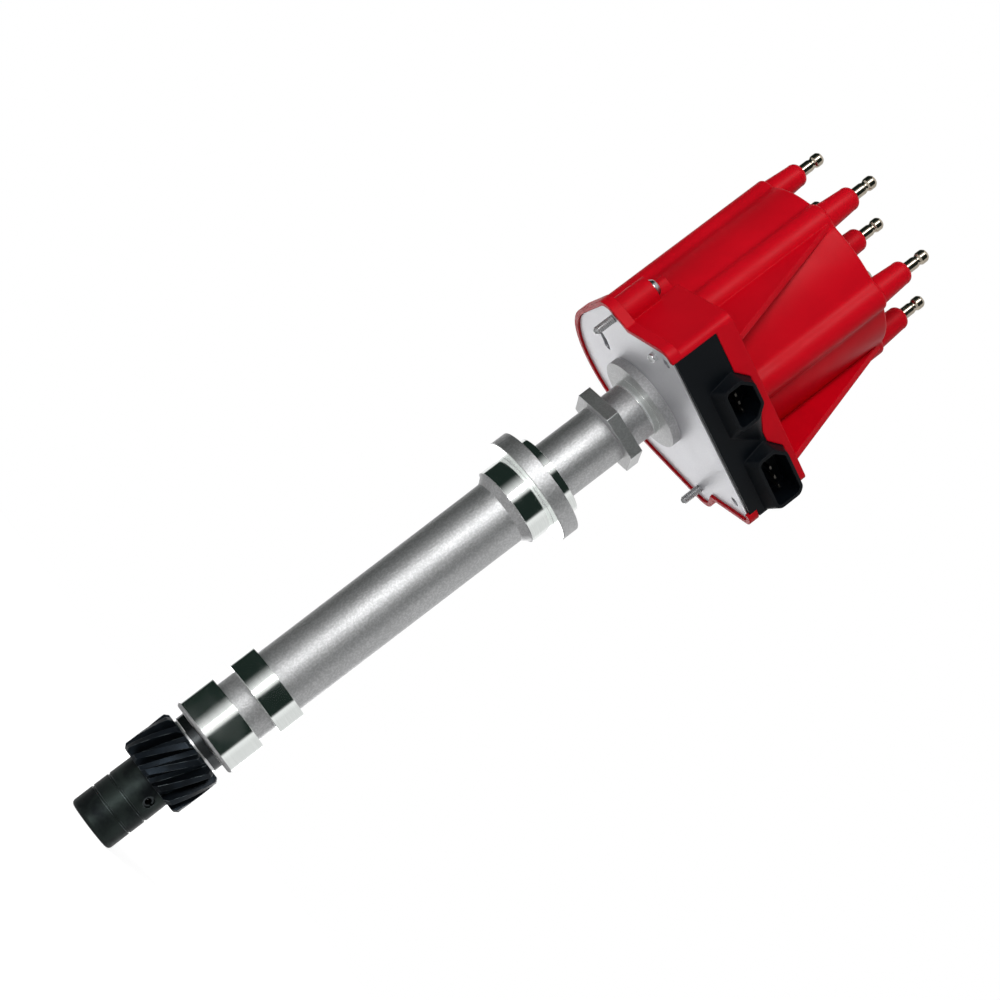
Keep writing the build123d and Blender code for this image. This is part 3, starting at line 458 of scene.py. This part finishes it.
def moulding(
    name, colour, roughness, edge=0.6, grain_height=0.006, rub=0.35, shine=0.3, edge_highlight_colour=None
):
    """Moulded plastic: soft edges, faint flow blotches and a fine tool grain.

    edge and grain_height are in millimetres, and the lighter edge colour is a painted highlight
    along the edges.
    """
    material, tree, shader = finish_base(name, colour)
    edges = place_group(tree, "Soft Edges", {"Radius": edge * MM, "Rub": rub})
    grain = place_group(tree, "Cast Grain", {"Grain Per Metre": 2400.0, "Blotches Per Metre": 28.0})
    handling = place_group(tree, "Handling", {"Smears Per Metre": 35.0})
    # Edges lightened towards this colour are a painted highlight, not wear.
    edge_highlight_colour = edge_highlight_colour or [min(1.0, c * 1.5 + 0.02) for c in colour]
    blotches = remap(tree, grain.outputs["Blotch"], 0.3, 0.75)
    body = mix_colours(tree, blotches, dimmed(colour, 0.86), colour)
    with_light_edges = mix_colours(tree, edges.outputs["Rubbed"], body, edge_highlight_colour)
    rough = mix_values(tree, handling.outputs["Smear"], roughness, roughness + 0.09)
    waves = maths(tree, "MULTIPLY", grain.outputs["Blotch"], 2.0)
    wavy = maths(tree, "ADD", grain.outputs["Height"], waves)
    normal = bump(tree, wavy, grain_height * MM, edges.outputs["Normal"])
    connect(tree, shader, with_light_edges, rough, normal)
    shader.inputs["Specular IOR Level"].default_value = shine
    return material


# ---------------------------------------------------------------- mesh building
def new_piece(name, shape, material, node, smooth=50.0):
    """Turns a bmesh into an object that stands for a CAD node and rides on its body."""
    mesh = bpy.data.meshes.new(name)
    bmesh.ops.recalc_face_normals(shape, faces=shape.faces)
    shape.to_mesh(mesh)
    shape.free()
    piece = bpy.data.objects.new(name, mesh)
    bpy.context.scene.collection.objects.link(piece)
    mesh.materials.append(material)
    mesh.shade_smooth()
    mesh.set_sharp_from_angle(angle=radians(smooth))
    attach(piece, BODY_OF[node])
    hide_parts(node)


def add_ring(shape, centre, height, radii):
    """Adds a level ring of points round a centre, one for each radius in order round it."""
    ring = []
    for k, radius in enumerate(radii):
        angle = 2 * pi * k / len(radii)
        x, y = centre[0] + radius * cos(angle), centre[1] + radius * sin(angle)
        ring.append(shape.verts.new((x, y, height)))
    return ring


def join_rings(shape, rings):
    """Adds the faces between each ring and the next; a ring of one point closes the end."""
    for lower, upper in zip(rings, rings[1:]):
        steps = max(len(lower), len(upper))
        for k in range(steps):
            n = (k + 1) % steps
            if len(lower) == 1:
                shape.faces.new((lower[0], upper[n], upper[k]))
            elif len(upper) == 1:
                shape.faces.new((lower[k], lower[n], upper[0]))
            else:
                shape.faces.new((lower[k], lower[n], upper[n], upper[k]))


def close_ends(shape, rings):
    """Adds a flat face inside the lowest and the highest ring."""
    shape.faces.new(list(reversed(rings[0])))
    shape.faces.new(rings[-1])


def lathe(shape, profile, centre, steps=64):
    """Turns (radius, height) points round an upright axis and adds them to a bmesh."""
    join_rings(shape, [
        add_ring(shape, centre, height, [radius] * steps if radius else [0.0])
        for radius, height in profile
    ])


def rounded(points, radius, steps=5):
    """Profile points with each inner corner cut to a small arc."""
    out = [points[0]]
    for before, here, after in zip(points, points[1:], points[2:]):
        a = Vector(before) - Vector(here)
        b = Vector(after) - Vector(here)
        reach = min(radius, 0.45 * a.length, 0.45 * b.length)
        start = Vector(here) + a.normalized() * reach
        end = Vector(here) + b.normalized() * reach
        for k in range(steps + 1):
            t = k / steps
            p = start * (1 - t) ** 2 + Vector(here) * 2 * t * (1 - t) + end * t**2
            out.append((p.x, p.y))
    out.append(points[-1])
    return out


def dress(nodes, material):
    """Gives a finish to CAD nodes that keep their own shape."""
    for name in nodes:
        mesh = frame["nodes"][name].data
        mesh.materials.clear()
        mesh.materials.append(material)


def sprung_coil(node, material):
    """Copy of the spring's mesh in the given finish, baked where it stands, in place of the CAD
    node.
    """
    coil = bpy.data.objects.new(node + "_coil", frame["nodes"][node].data.copy())
    bpy.context.scene.collection.objects.link(coil)
    coil.data.materials.clear()
    coil.data.materials.append(material)
    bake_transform(coil)
    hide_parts(node)


def middle_of(low, high):
    """Point in plan halfway between two corners."""
    return (low.x + high.x) / 2, (low.y + high.y) / 2


def solids_of(node):
    """Low and high corner of each separate solid of a node, in order along X and then Y."""
    mesh = frame["nodes"][node].data
    shape = bmesh.new()
    shape.from_mesh(mesh)
    bmesh.ops.remove_doubles(shape, verts=shape.verts, dist=0.001 * MM)
    left = set(shape.verts)
    boxes = []
    while left:
        stack = [left.pop()]
        group = [stack[0]]
        while stack:
            for edge in stack.pop().link_edges:
                for vert in edge.verts:
                    if vert in left:
                        left.discard(vert)
                        stack.append(vert)
                        group.append(vert)
        low = Vector([min(v.co[i] for v in group) for i in range(3)])
        high = Vector([max(v.co[i] for v in group) for i in range(3)])
        boxes.append((low, high))
    shape.free()
    return sorted(boxes, key=lambda b: (round(b[0].x, 4), round(b[0].y, 4)))


# ---------------------------------------------------------------- settings
class CastingSettings(bpy.types.PropertyGroup):
    """Colours and roughness of the cast housing."""

    casting: FloatVectorProperty(
        name="Casting", description="Colour of the blasted casting", subtype="COLOR", size=3,
        default=(0.54, 0.543, 0.548), min=0.0, max=1.0,
    )
    turned: FloatVectorProperty(
        name="Turned Bands", description="Colour of the machined bands", subtype="COLOR", size=3,
        default=(0.82, 0.85, 0.83), min=0.0, max=1.0,
    )
    casting_roughness: FloatProperty(
        name="Casting Roughness", description="Roughness of the blasted casting",
        subtype="FACTOR", default=0.49, min=0.0, max=1.0,
    )


class SteelSettings(bpy.types.PropertyGroup):
    """Colours of the steel and brass pieces."""

    oxide: FloatVectorProperty(
        name="Black Oxide", description="Colour of the gear's dark skin", subtype="COLOR", size=3,
        default=(0.014, 0.020, 0.027), min=0.0, max=1.0,
    )
    sleeve: FloatVectorProperty(
        name="Sleeve", description="Colour of the gear's sleeve below its teeth", subtype="COLOR",
        size=3, default=(0.030, 0.040, 0.037), min=0.0, max=1.0,
    )
    steel: FloatVectorProperty(
        name="Steel", description="Colour of ground and zinc plated steel", subtype="COLOR", size=3,
        default=(0.70, 0.71, 0.72), min=0.0, max=1.0,
    )
    terminal: FloatVectorProperty(
        name="Terminal", description="Colour of the turned terminals", subtype="COLOR", size=3,
        default=(0.44, 0.385, 0.31), min=0.0, max=1.0,
    )


class MouldingSettings(bpy.types.PropertyGroup):
    """Colours and roughness of the plastic mouldings."""

    cap: FloatVectorProperty(
        name="Cap", description="Colour of the cap", subtype="COLOR", size=3,
        default=(0.60, 0.0008, 0.0095), min=0.0, max=1.0,
    )
    cap_roughness: FloatProperty(
        name="Cap Roughness", description="Roughness of the cap's surface", subtype="FACTOR",
        default=0.42, min=0.0, max=1.0,
    )
    module: FloatVectorProperty(
        name="Module", description="Colour of the ignition module", subtype="COLOR", size=3,
        default=(0.0020, 0.0032, 0.0048), min=0.0, max=1.0,
    )
    edge_radius: FloatProperty(
        name="Edge Radius", description="How soft the moulded edges look", subtype="DISTANCE",
        unit="LENGTH", default=0.7 * MM, min=0.0, max=3 * MM,
    )


class ScrewSettings(bpy.types.PropertyGroup):
    """Sizes of the cap screws' threads and drives."""

    thread_pitch: FloatProperty(
        name="Thread Pitch", description="Rise of the thread in one turn", subtype="DISTANCE",
        unit="LENGTH", default=0.8 * MM, min=0.3 * MM, max=3 * MM,
    )
    shank_radius: FloatProperty(
        name="Shank Radius", description="Radius of the shank over its thread",
        subtype="DISTANCE", unit="LENGTH", default=1.7 * MM, min=0.5 * MM, max=4 * MM,
    )
    thread_depth: FloatProperty(
        name="Thread Depth", description="Depth of the thread", subtype="DISTANCE",
        unit="LENGTH", default=0.22 * MM, min=0.1 * MM, max=1 * MM,
    )
    threaded_length: FloatProperty(
        name="Threaded Length", description="Length of the thread from the point",
        subtype="DISTANCE", unit="LENGTH", default=11.5 * MM, min=2 * MM, max=24 * MM,
    )
    drive_points: IntProperty(
        name="Drive Points", description="Lobes of the screw head's star drive",
        default=6, min=4, max=8,
    )


class StudioSettings(bpy.types.PropertyGroup):
    """Camera and lights."""

    camera_distance: FloatProperty(
        name="Distance", description="Distance from the shaft's axis to the camera",
        subtype="DISTANCE", unit="LENGTH", default=0.820, min=0.3, max=3.0,
    )
    camera_height: FloatProperty(
        name="Height", description="Height of the camera over the flange's seat",
        subtype="DISTANCE", unit="LENGTH", default=-0.1555, min=-1.0, max=1.0,
    )
    camera_turn: FloatProperty(
        name="Turn", subtype="ANGLE", unit="ROTATION", default=radians(35.5),
        description="Turn of the camera round the shaft, from the front of the module",
    )
    camera_pitch: FloatProperty(
        name="Pitch", description="How far the camera looks up", subtype="ANGLE",
        unit="ROTATION", default=radians(10.06),
    )
    camera_roll: FloatProperty(
        name="Roll", description="Lean of the shaft in the camera's view, from upright",
        subtype="ANGLE", unit="ROTATION", default=radians(52.67),
    )
    camera_aside: FloatProperty(
        name="Aside", description="Offset of the camera to its left of the shaft's axis",
        subtype="DISTANCE", unit="LENGTH", default=3.7 * MM,
    )
    focal_length: FloatProperty(
        name="Focal Length", description="Focal length on a 36 mm sensor, in millimetres",
        default=78.9, min=20.0, max=300.0,
    )
    key_power: FloatProperty(
        name="Key", description="Power of the large soft light beside the camera",
        unit="POWER", default=8.5, min=0.0, max=200.0,
    )
    fill_power: FloatProperty(
        name="Fill", description="Power of the light on the far side", unit="POWER",
        default=0.8, min=0.0, max=200.0,
    )
    back_power: FloatProperty(
        name="Low Back", unit="POWER", default=1.4, min=0.0, max=50.0,
        description="Power of the low light behind, which the plate's underside mirrors",
    )
    surround: FloatProperty(
        name="Surround", description="Brightness of the studio walls on matt surfaces",
        default=0.27, min=0.0, max=2.0,
    )


# ---------------------------------------------------------------- pieces
class DISTRIBUTOR_OT_effects(bpy.types.Operator):
    """Builds the shader groups that the finishes share"""

    bl_idname = "distributor.effects"
    bl_label = "Build Shared Effects"

    def execute(self, context):
        build_soft_edges()
        build_cast_grain()
        build_turning_marks()
        build_handling()
        build_band_mask()
        return {"FINISHED"}


class DISTRIBUTOR_OT_housing(bpy.types.Operator):
    """Finishes the cast housing, the module's base plate and the bushings"""

    bl_idname = "distributor.housing"
    bl_label = "Finish Housing"

    def execute(self, context):
        settings = context.scene.distributor_casting
        bronze = bright_metal("sintered bronze", (0.50, 0.31, 0.14), 0.38)
        dress(["housing"], cast_aluminium(settings))
        dress(["module_base_plate"], bright_metal("rolled aluminium", settings.casting, 0.32))
        dress(["lower_bushing", "upper_bushing"], bronze)
        return {"FINISHED"}


class DISTRIBUTOR_OT_drive(bpy.types.Operator):
    """Finishes the shaft, the gear with its pin, the washers and the timer core"""

    bl_idname = "distributor.drive"
    bl_label = "Finish Drive"

    def execute(self, context):
        settings = context.scene.distributor_steel
        hardened = bright_metal("hardened steel", (0.07, 0.075, 0.078), 0.13)
        rolled = bright_metal("pin steel", (0.07, 0.08, 0.085), 0.34, rings=600.0)
        dress(["drive_gear"], black_oxide(settings))
        dress(["shaft", "shim_washer"], bright_metal("ground steel", settings.steel, 0.16))
        dress(["thrust_washer", "timer_core"], hardened)
        dress(["gear_pin"], rolled)
        return {"FINISHED"}


class DISTRIBUTOR_OT_pickup(bpy.types.Operator):
    """Finishes the magnetic pickup under the rotor, the springs and the plated screws"""

    bl_idname = "distributor.pickup"
    bl_label = "Finish Pickup"

    def execute(self, context):
        settings = context.scene.distributor_steel
        plated = bright_metal("zinc plated steel", dimmed(settings.steel, 0.92), 0.30)
        nylon = moulding("bobbin nylon", (0.02, 0.022, 0.024), 0.45)
        copper = bright_metal(
            "copper winding", (0.55, 0.22, 0.10), 0.32, rings=3000.0, height=0.08
        )
        spring = bright_metal("spring steel", (0.42, 0.43, 0.45), 0.24)
        dress(["pickup_plate", "pole_piece", "rotor_screws", "module_screws"], plated)
        dress(["pickup_magnet"], moulding("bonded magnet", (0.05, 0.05, 0.053), 0.6))
        dress(["coil_bobbin", "pickup_plug"], nylon)
        dress(["coil_winding"], copper)
        dress(["pickup_leads"], moulding("lead jacket", (0.03, 0.12, 0.05), 0.45, edge=0.1))
        dress(["pickup_clip", "rotor_spring"], spring)
        sprung_coil("button_spring", spring)
        return {"FINISHED"}


class DISTRIBUTOR_OT_rotor(bpy.types.Operator):
    """Finishes the rotor, its brass segment and the carbon button"""

    bl_idname = "distributor.rotor"
    bl_label = "Finish Rotor"

    def execute(self, context):
        rotor = moulding("rotor moulding", (0.022, 0.022, 0.024), 0.30, shine=0.5)
        dress(["rotor_body"], rotor)
        dress(["rotor_segment"], bright_metal("segment brass", (0.72, 0.55, 0.26), 0.22))
        dress(["coil_button"], moulding("pressed carbon", (0.018, 0.018, 0.019), 0.5, edge=0.2))
        return {"FINISHED"}


class DISTRIBUTOR_OT_cap(bpy.types.Operator):
    """Finishes the moulded cap"""

    bl_idname = "distributor.cap"
    bl_label = "Finish Cap"

    def execute(self, context):
        settings = context.scene.distributor_moulding
        material = moulding(
            "cap moulding",
            settings.cap,
            settings.cap_roughness,
            edge=settings.edge_radius / MM,
            grain_height=0.010,
            # Painted highlight along the cap's edges, in a lighter red.
            rub=0.07,
            shine=0.11,
            edge_highlight_colour=(0.68, 0.008, 0.022),
        )
        dress(["cap"], material)
        return {"FINISHED"}


class DISTRIBUTOR_OT_module(bpy.types.Operator):
    """Finishes the ignition module, its connector pins and its dowel"""

    bl_idname = "distributor.module"
    bl_label = "Finish Module"

    def execute(self, context):
        mouldings = context.scene.distributor_moulding
        steels = context.scene.distributor_steel
        material = moulding(
            "module moulding",
            mouldings.module,
            0.42,
            edge=0.45,
            grain_height=0.012,
            # Painted highlight along the module's edges.
            rub=0.1,
            shine=0.12,
        )
        dress(["ignition_module"], material)
        tinned = bright_metal("tinned brass", (0.10, 0.095, 0.085), 0.35)
        dress(["main_connector_pins", "timing_connector_pins"], tinned)
        dress(["module_dowel"], bright_metal("dowel steel", steels.steel, 0.18))
        return {"FINISHED"}


def terminal_head(top):
    """Outline of a terminal's head from its seat up to the rounded top, (radius, height)."""
    seat = top - TERMINAL_HEIGHT
    outline = [
        (TERMINAL_RADIUS * 0.90, 0.0),
        (TERMINAL_RADIUS * 0.90, 0.42),
        (TERMINAL_NECK, 0.50),
        (TERMINAL_NECK, 0.55),
        (TERMINAL_RADIUS, 0.64),
        (TERMINAL_RADIUS, 0.86),
        (TERMINAL_RADIUS * 0.72, 0.97),
        (0.0, 1.0),
    ]
    points = [(radius, seat + share * TERMINAL_HEIGHT) for radius, share in outline]
    return rounded(points, TERMINAL_ROUND)


class DISTRIBUTOR_OT_terminals(bpy.types.Operator):
    """Turns the six plug terminals and the coil's, with rounded heads and waists"""

    bl_idname = "distributor.terminals"
    bl_label = "Turn Terminals"

    def execute(self, context):
        settings = context.scene.distributor_steel
        finish = bright_metal("turned terminal", settings.terminal, 0.13, rings=2600.0)
        shape = bmesh.new()
        for low, high in solids_of("plug_posts"):
            electrode = (high.x - low.x) / 2
            shoulder = low.z + ELECTRODE_LENGTH
            hidden = [
                (0.0, low.z),
                (electrode, low.z),
                (electrode, shoulder),
                (ROD_RADIUS, shoulder),
                (ROD_RADIUS, high.z - TERMINAL_HEIGHT),
            ]
            lathe(shape, hidden + terminal_head(high.z), middle_of(low, high))
        new_piece("plug_terminals", shape, finish, "plug_posts")
        low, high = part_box("coil_post")
        rod = [(0.0, low.z), (ROD_RADIUS, low.z), (ROD_RADIUS, high.z - TERMINAL_HEIGHT)]
        shape = bmesh.new()
        lathe(shape, rod + terminal_head(high.z), (0.0, 0.0))
        new_piece("coil_terminal", shape, finish, "coil_post")
        return {"FINISHED"}


def threaded_shank(shape, centre, foot, top, settings, per_turn=8, steps=32):
    """Screw shank with a real helical thread over its lower stretch and a blunt point."""
    pitch, length = settings.thread_pitch, settings.threaded_length
    rows = int(length / pitch * per_turn)
    rings = []
    for j in range(rows + 1):
        rise = length * j / rows
        fade = min(1.0, (length - rise) / (1.5 * pitch))
        point = max(0.0, 1.0 - rise / SCREW_TIP_LENGTH) * SCREW_TIP_TAPER
        radii = []
        for k in range(steps):
            wave = abs((rise / pitch - k / steps) % 1.0 - 0.5) * 2.0
            cut = settings.thread_depth * (1.0 - wave) * fade
            radii.append(settings.shank_radius - cut - point)
        rings.append(add_ring(shape, centre, foot + rise, radii))
    rings.append(add_ring(shape, centre, top, [settings.shank_radius] * steps))
    join_rings(shape, rings)
    close_ends(shape, rings)


def star_head(shape, centre, seat, radius, height, points, steps=96):
    """Domed screw head with a star-shaped drive sunk into its crown."""
    top = seat + height
    dome = [
        (radius * 0.93, seat),
        (radius, seat + 0.25 * height),
        (radius * 0.72, seat + 0.88 * height),
        (radius * 0.50, top),
    ]
    rings = [add_ring(shape, centre, z, [r] * steps) for r, z in rounded(dome, SCREW_HEAD_ROUND)]
    waves = [0.5 + 0.5 * cos(2 * pi * k / steps * points) for k in range(steps)]
    star = [radius * (0.30 + 0.12 * wave) for wave in waves]
    rings.append(add_ring(shape, centre, top, [r * 1.04 for r in star]))
    for z in (top - SCREW_DRIVE_EDGE, seat + 0.35 * height):
        rings.append(add_ring(shape, centre, z, star))
    join_rings(shape, rings)
    close_ends(shape, rings)


class DISTRIBUTOR_OT_cap_screws(bpy.types.Operator):
    """Makes the two cap screws with threads and star drives"""

    bl_idname = "distributor.cap_screws"
    bl_label = "Make Cap Screws"

    def execute(self, context):
        settings = context.scene.distributor_screws
        steel = context.scene.distributor_steel.steel
        finish = bright_metal("screw steel", dimmed(steel, 0.62), 0.24)
        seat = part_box("cap_screws")[1].z - SCREW_HEAD_HEIGHT
        shape = bmesh.new()
        for low, high in solids_of("cap_screws"):
            centre = middle_of(low, high)
            radius = (high.x - low.x) / 2
            threaded_shank(shape, centre, low.z, seat, settings)
            star_head(shape, centre, seat, radius, high.z - seat, settings.drive_points)
        new_piece("threaded_cap_screws", shape, finish, "cap_screws", smooth=35.0)
        return {"FINISHED"}


# ---------------------------------------------------------------- stage
def camera_axes(settings):
    """Unit vectors before the camera's roll: out from the shaft, right, up and forward."""
    out = Vector((-sin(settings.camera_turn), -cos(settings.camera_turn), 0.0))
    right = Vector((-out.y, out.x, 0.0))
    pitch = settings.camera_pitch
    forward = -out * cos(pitch) + Vector((0, 0, 1)) * sin(pitch)
    up = right.cross(forward)
    return out, right, up, forward


class DISTRIBUTOR_OT_camera(bpy.types.Operator):
    """Sets the camera beside the module, looking slightly up and rolled over"""

    bl_idname = "distributor.camera"
    bl_label = "Set Camera"

    def execute(self, context):
        settings = context.scene.distributor_studio
        out, right, up, forward = camera_axes(settings)
        turn = settings.camera_roll
        x_axis = right * cos(turn) + up * sin(turn)
        y_axis = -right * sin(turn) + up * cos(turn)
        data = bpy.data.cameras.new("camera")
        data.lens = settings.focal_length
        data.sensor_width = SENSOR_WIDTH
        data.clip_start = 0.01
        camera = bpy.data.objects.new("camera", data)
        place = out * settings.camera_distance - right * settings.camera_aside
        place.z = settings.camera_height
        camera.matrix_world = Matrix((
            (x_axis.x, y_axis.x, -forward.x, place.x),
            (x_axis.y, y_axis.y, -forward.y, place.y),
            (x_axis.z, y_axis.z, -forward.z, place.z),
            (0.0, 0.0, 0.0, 1.0),
        ))
        context.scene.collection.objects.link(camera)
        context.scene.camera = camera
        return {"FINISHED"}


def soft_light(settings, name, power, turn, height, size, glossy):
    """Large soft area light, placed by its angle round the shaft and aimed at the part."""
    out, right = camera_axes(settings)[:2]
    angle = radians(turn)
    place = (out * cos(angle) + right * sin(angle)) * LIGHT_DISTANCE
    place.z = height
    data = bpy.data.lights.new(name, "AREA")
    data.shape = "RECTANGLE"
    data.size, data.size_y = size
    data.energy = getattr(settings, power)
    light = bpy.data.objects.new(name, data)
    light.location = place
    light.rotation_euler = (Vector(LIGHT_AIM) - place).to_track_quat("-Z", "Y").to_euler()
    light.visible_glossy = glossy
    light.visible_camera = False
    bpy.context.scene.collection.objects.link(light)


def studio_world(settings):
    """White to the camera and to what shines; a plain level, dimmer overhead, on matt surfaces."""
    world = bpy.data.worlds.new("studio")
    bpy.context.scene.world = world
    world.use_nodes = True
    tree = world.node_tree
    tree.nodes.clear()
    output = tree.nodes.new("ShaderNodeOutputWorld")
    direction = tree.nodes.new("ShaderNodeTexCoord").outputs["Generated"]
    height = put(tree, "ShaderNodeSeparateXYZ", {"Vector": direction}).outputs["Z"]
    level = remap(tree, height, 0.0, 0.9, settings.surround, 0.45 * settings.surround)
    rays = tree.nodes.new("ShaderNodeLightPath").outputs
    white = put(tree, "ShaderNodeBackground", {"Color": (1.0, 1.0, 1.0, 1.0), "Strength": 1.0})
    matt = put(tree, "ShaderNodeBackground", {"Color": (1.0, 1.0, 1.0, 1.0), "Strength": level})
    seen = maths(tree, "MAXIMUM", rays["Is Camera Ray"], rays["Is Transmission Ray"])
    seen = maths(tree, "MAXIMUM", seen, rays["Is Glossy Ray"])
    both = put(tree, "ShaderNodeMixShader", {0: seen, 1: matt.outputs[0], 2: white.outputs[0]})
    tree.links.new(both.outputs[0], output.inputs["Surface"])


def flag_finish(start, stop, feathers, density):
    """Black cloth that fades out towards its two upright edges, by angle round the shaft."""
    material = bpy.data.materials.new("black flag")
    tree, output = tree_of(material)
    split = put(tree, "ShaderNodeSeparateXYZ", {"Vector": object_place(tree)})
    angle = maths(tree, "ARCTAN2", split.outputs["Y"], split.outputs["X"])
    rise = remap(tree, angle, start, start + radians(feathers[0]))
    fall = remap(tree, angle, stop, stop - radians(feathers[1]))
    cover = maths(tree, "MULTIPLY", maths(tree, "MULTIPLY", rise, fall), density)
    cloth = put(tree, "ShaderNodeEmission", {"Color": FLAG_COLOUR, "Strength": FLAG_GLOW})
    gap = tree.nodes.new("ShaderNodeBsdfTransparent")
    both = put(tree, "ShaderNodeMixShader", {0: cover, 1: gap.outputs[0], 2: cloth.outputs[0]})
    tree.links.new(both.outputs[0], output.inputs["Surface"])
    return material


def black_flag(settings, name, turns, heights, feathers, density):
    """Curved black flag round the shaft that only shiny surfaces see."""
    start, stop = (radians(turn) for turn in turns)
    shape = bmesh.new()
    rows = []
    for k in range(FLAG_SEGMENTS + 1):
        a = start + (stop - start) * k / FLAG_SEGMENTS
        x, y = FLAG_RADIUS * cos(a), FLAG_RADIUS * sin(a)
        rows.append([shape.verts.new((x, y, z)) for z in heights])
    for left, right in zip(rows, rows[1:]):
        shape.faces.new((left[0], right[0], right[1], left[1]))
    mesh = bpy.data.meshes.new(name)
    shape.to_mesh(mesh)
    shape.free()
    flag = bpy.data.objects.new(name, mesh)
    out = camera_axes(settings)[0]
    flag.rotation_euler.z = atan2(out.y, out.x)
    mesh.materials.append(flag_finish(start, stop, feathers, density))
    bpy.context.scene.collection.objects.link(flag)
    flag.visible_camera = False
    flag.visible_diffuse = False
    flag.visible_shadow = False
    flag.visible_transmission = False


def floor_finish():
    """White paper that shows white to the camera but keeps the object's shadow, with a painted
    shade near the shaft for shiny surfaces.
    """
    material = bpy.data.materials.new("white paper")
    tree, output = tree_of(material)
    rays = tree.nodes.new("ShaderNodeLightPath").outputs
    paper = put(tree, "ShaderNodeBsdfDiffuse", {"Color": (0.9, 0.9, 0.9, 1.0)})
    where = object_place(tree)
    away = put(tree, "ShaderNodeVectorMath", {0: where}, operation="LENGTH").outputs["Value"]
    to_camera = remap(tree, away, *FLOOR_TO_CAMERA)
    # Low glow near the shaft for shiny surfaces is a painted shade under the part.
    metal_glow_painted_shade = remap(tree, away, *FLOOR_TO_METAL_PAINTED_SHADE)
    seen = maths(tree, "MULTIPLY", rays["Is Camera Ray"], to_camera)
    mirrored_painted_shade = maths(tree, "MULTIPLY", rays["Is Glossy Ray"], metal_glow_painted_shade)
    glow = put(tree, "ShaderNodeEmission", {"Strength": maths(tree, "MAXIMUM", seen, mirrored_painted_shade)})
    both = put(tree, "ShaderNodeAddShader", {0: paper.outputs[0], 1: glow.outputs[0]})
    tree.links.new(both.outputs[0], output.inputs["Surface"])
    return material


class DISTRIBUTOR_OT_stage(bpy.types.Operator):
    """Lays a white floor under the part and sets the walls and lamps of a soft studio"""

    bl_idname = "distributor.stage"
    bl_label = "Set Stage"

    def execute(self, context):
        settings = context.scene.distributor_studio
        shape = bmesh.new()
        bmesh.ops.create_circle(shape, cap_ends=True, segments=96, radius=FLOOR_RADIUS)
        mesh = bpy.data.meshes.new("floor")
        shape.to_mesh(mesh)
        shape.free()
        floor = bpy.data.objects.new("floor", mesh)
        floor.location.z = CAD_LOW.z - FLOOR_DROP
        mesh.materials.append(floor_finish())
        context.scene.collection.objects.link(floor)
        studio_world(settings)
        for flag in FLAGS:
            black_flag(settings, *flag)
        for light in LIGHTS:
            soft_light(settings, *light)
        context.scene.view_settings.view_transform = "Standard"
        return {"FINISHED"}


# ---------------------------------------------------------------- sidebar
STEPS = (
    "effects", "housing", "drive", "pickup", "rotor", "cap", "module", "terminals", "cap_screws",
    "camera", "stage",
)
SETTINGS = {
    "distributor_casting": ("Casting", CastingSettings),
    "distributor_steel": ("Metals", SteelSettings),
    "distributor_moulding": ("Mouldings", MouldingSettings),
    "distributor_screws": ("Cap Screws", ScrewSettings),
    "distributor_studio": ("Studio", StudioSettings),
}


class DISTRIBUTOR_PT_sidebar(bpy.types.Panel):
    """Lists the settings and the steps in the order in which they are run"""

    bl_idname = "DISTRIBUTOR_PT_sidebar"
    bl_label = "Distributor"
    bl_space_type = "VIEW_3D"
    bl_region_type = "UI"
    bl_category = "Distributor"

    def draw(self, context):
        for holder, (title, group) in SETTINGS.items():
            box = self.layout.box()
            box.label(text=title)
            for name in group.__annotations__:
                box.prop(getattr(context.scene, holder), name)
        column = self.layout.column(align=True)
        for step in STEPS:
            column.operator("distributor." + step)


CLASSES = tuple(group for _, group in SETTINGS.values()) + (
    DISTRIBUTOR_OT_effects,
    DISTRIBUTOR_OT_housing,
    DISTRIBUTOR_OT_drive,
    DISTRIBUTOR_OT_pickup,
    DISTRIBUTOR_OT_rotor,
    DISTRIBUTOR_OT_cap,
    DISTRIBUTOR_OT_module,
    DISTRIBUTOR_OT_terminals,
    DISTRIBUTOR_OT_cap_screws,
    DISTRIBUTOR_OT_camera,
    DISTRIBUTOR_OT_stage,
    DISTRIBUTOR_PT_sidebar,
)


def register():
    for item in CLASSES:
        bpy.utils.register_class(item)
    for holder, (_, group) in SETTINGS.items():
        setattr(bpy.types.Scene, holder, PointerProperty(type=group))


def unregister():
    for holder in SETTINGS:
        delattr(bpy.types.Scene, holder)
    for item in reversed(CLASSES):
        bpy.utils.unregister_class(item)


def main():
    register()
    for step in STEPS:
        if getattr(bpy.ops.distributor, step)() != {"FINISHED"}:
            raise RuntimeError(f"step {step} didn't finish")
    bpy.context.view_layer.update()


if __name__ == "__main__":
    main()
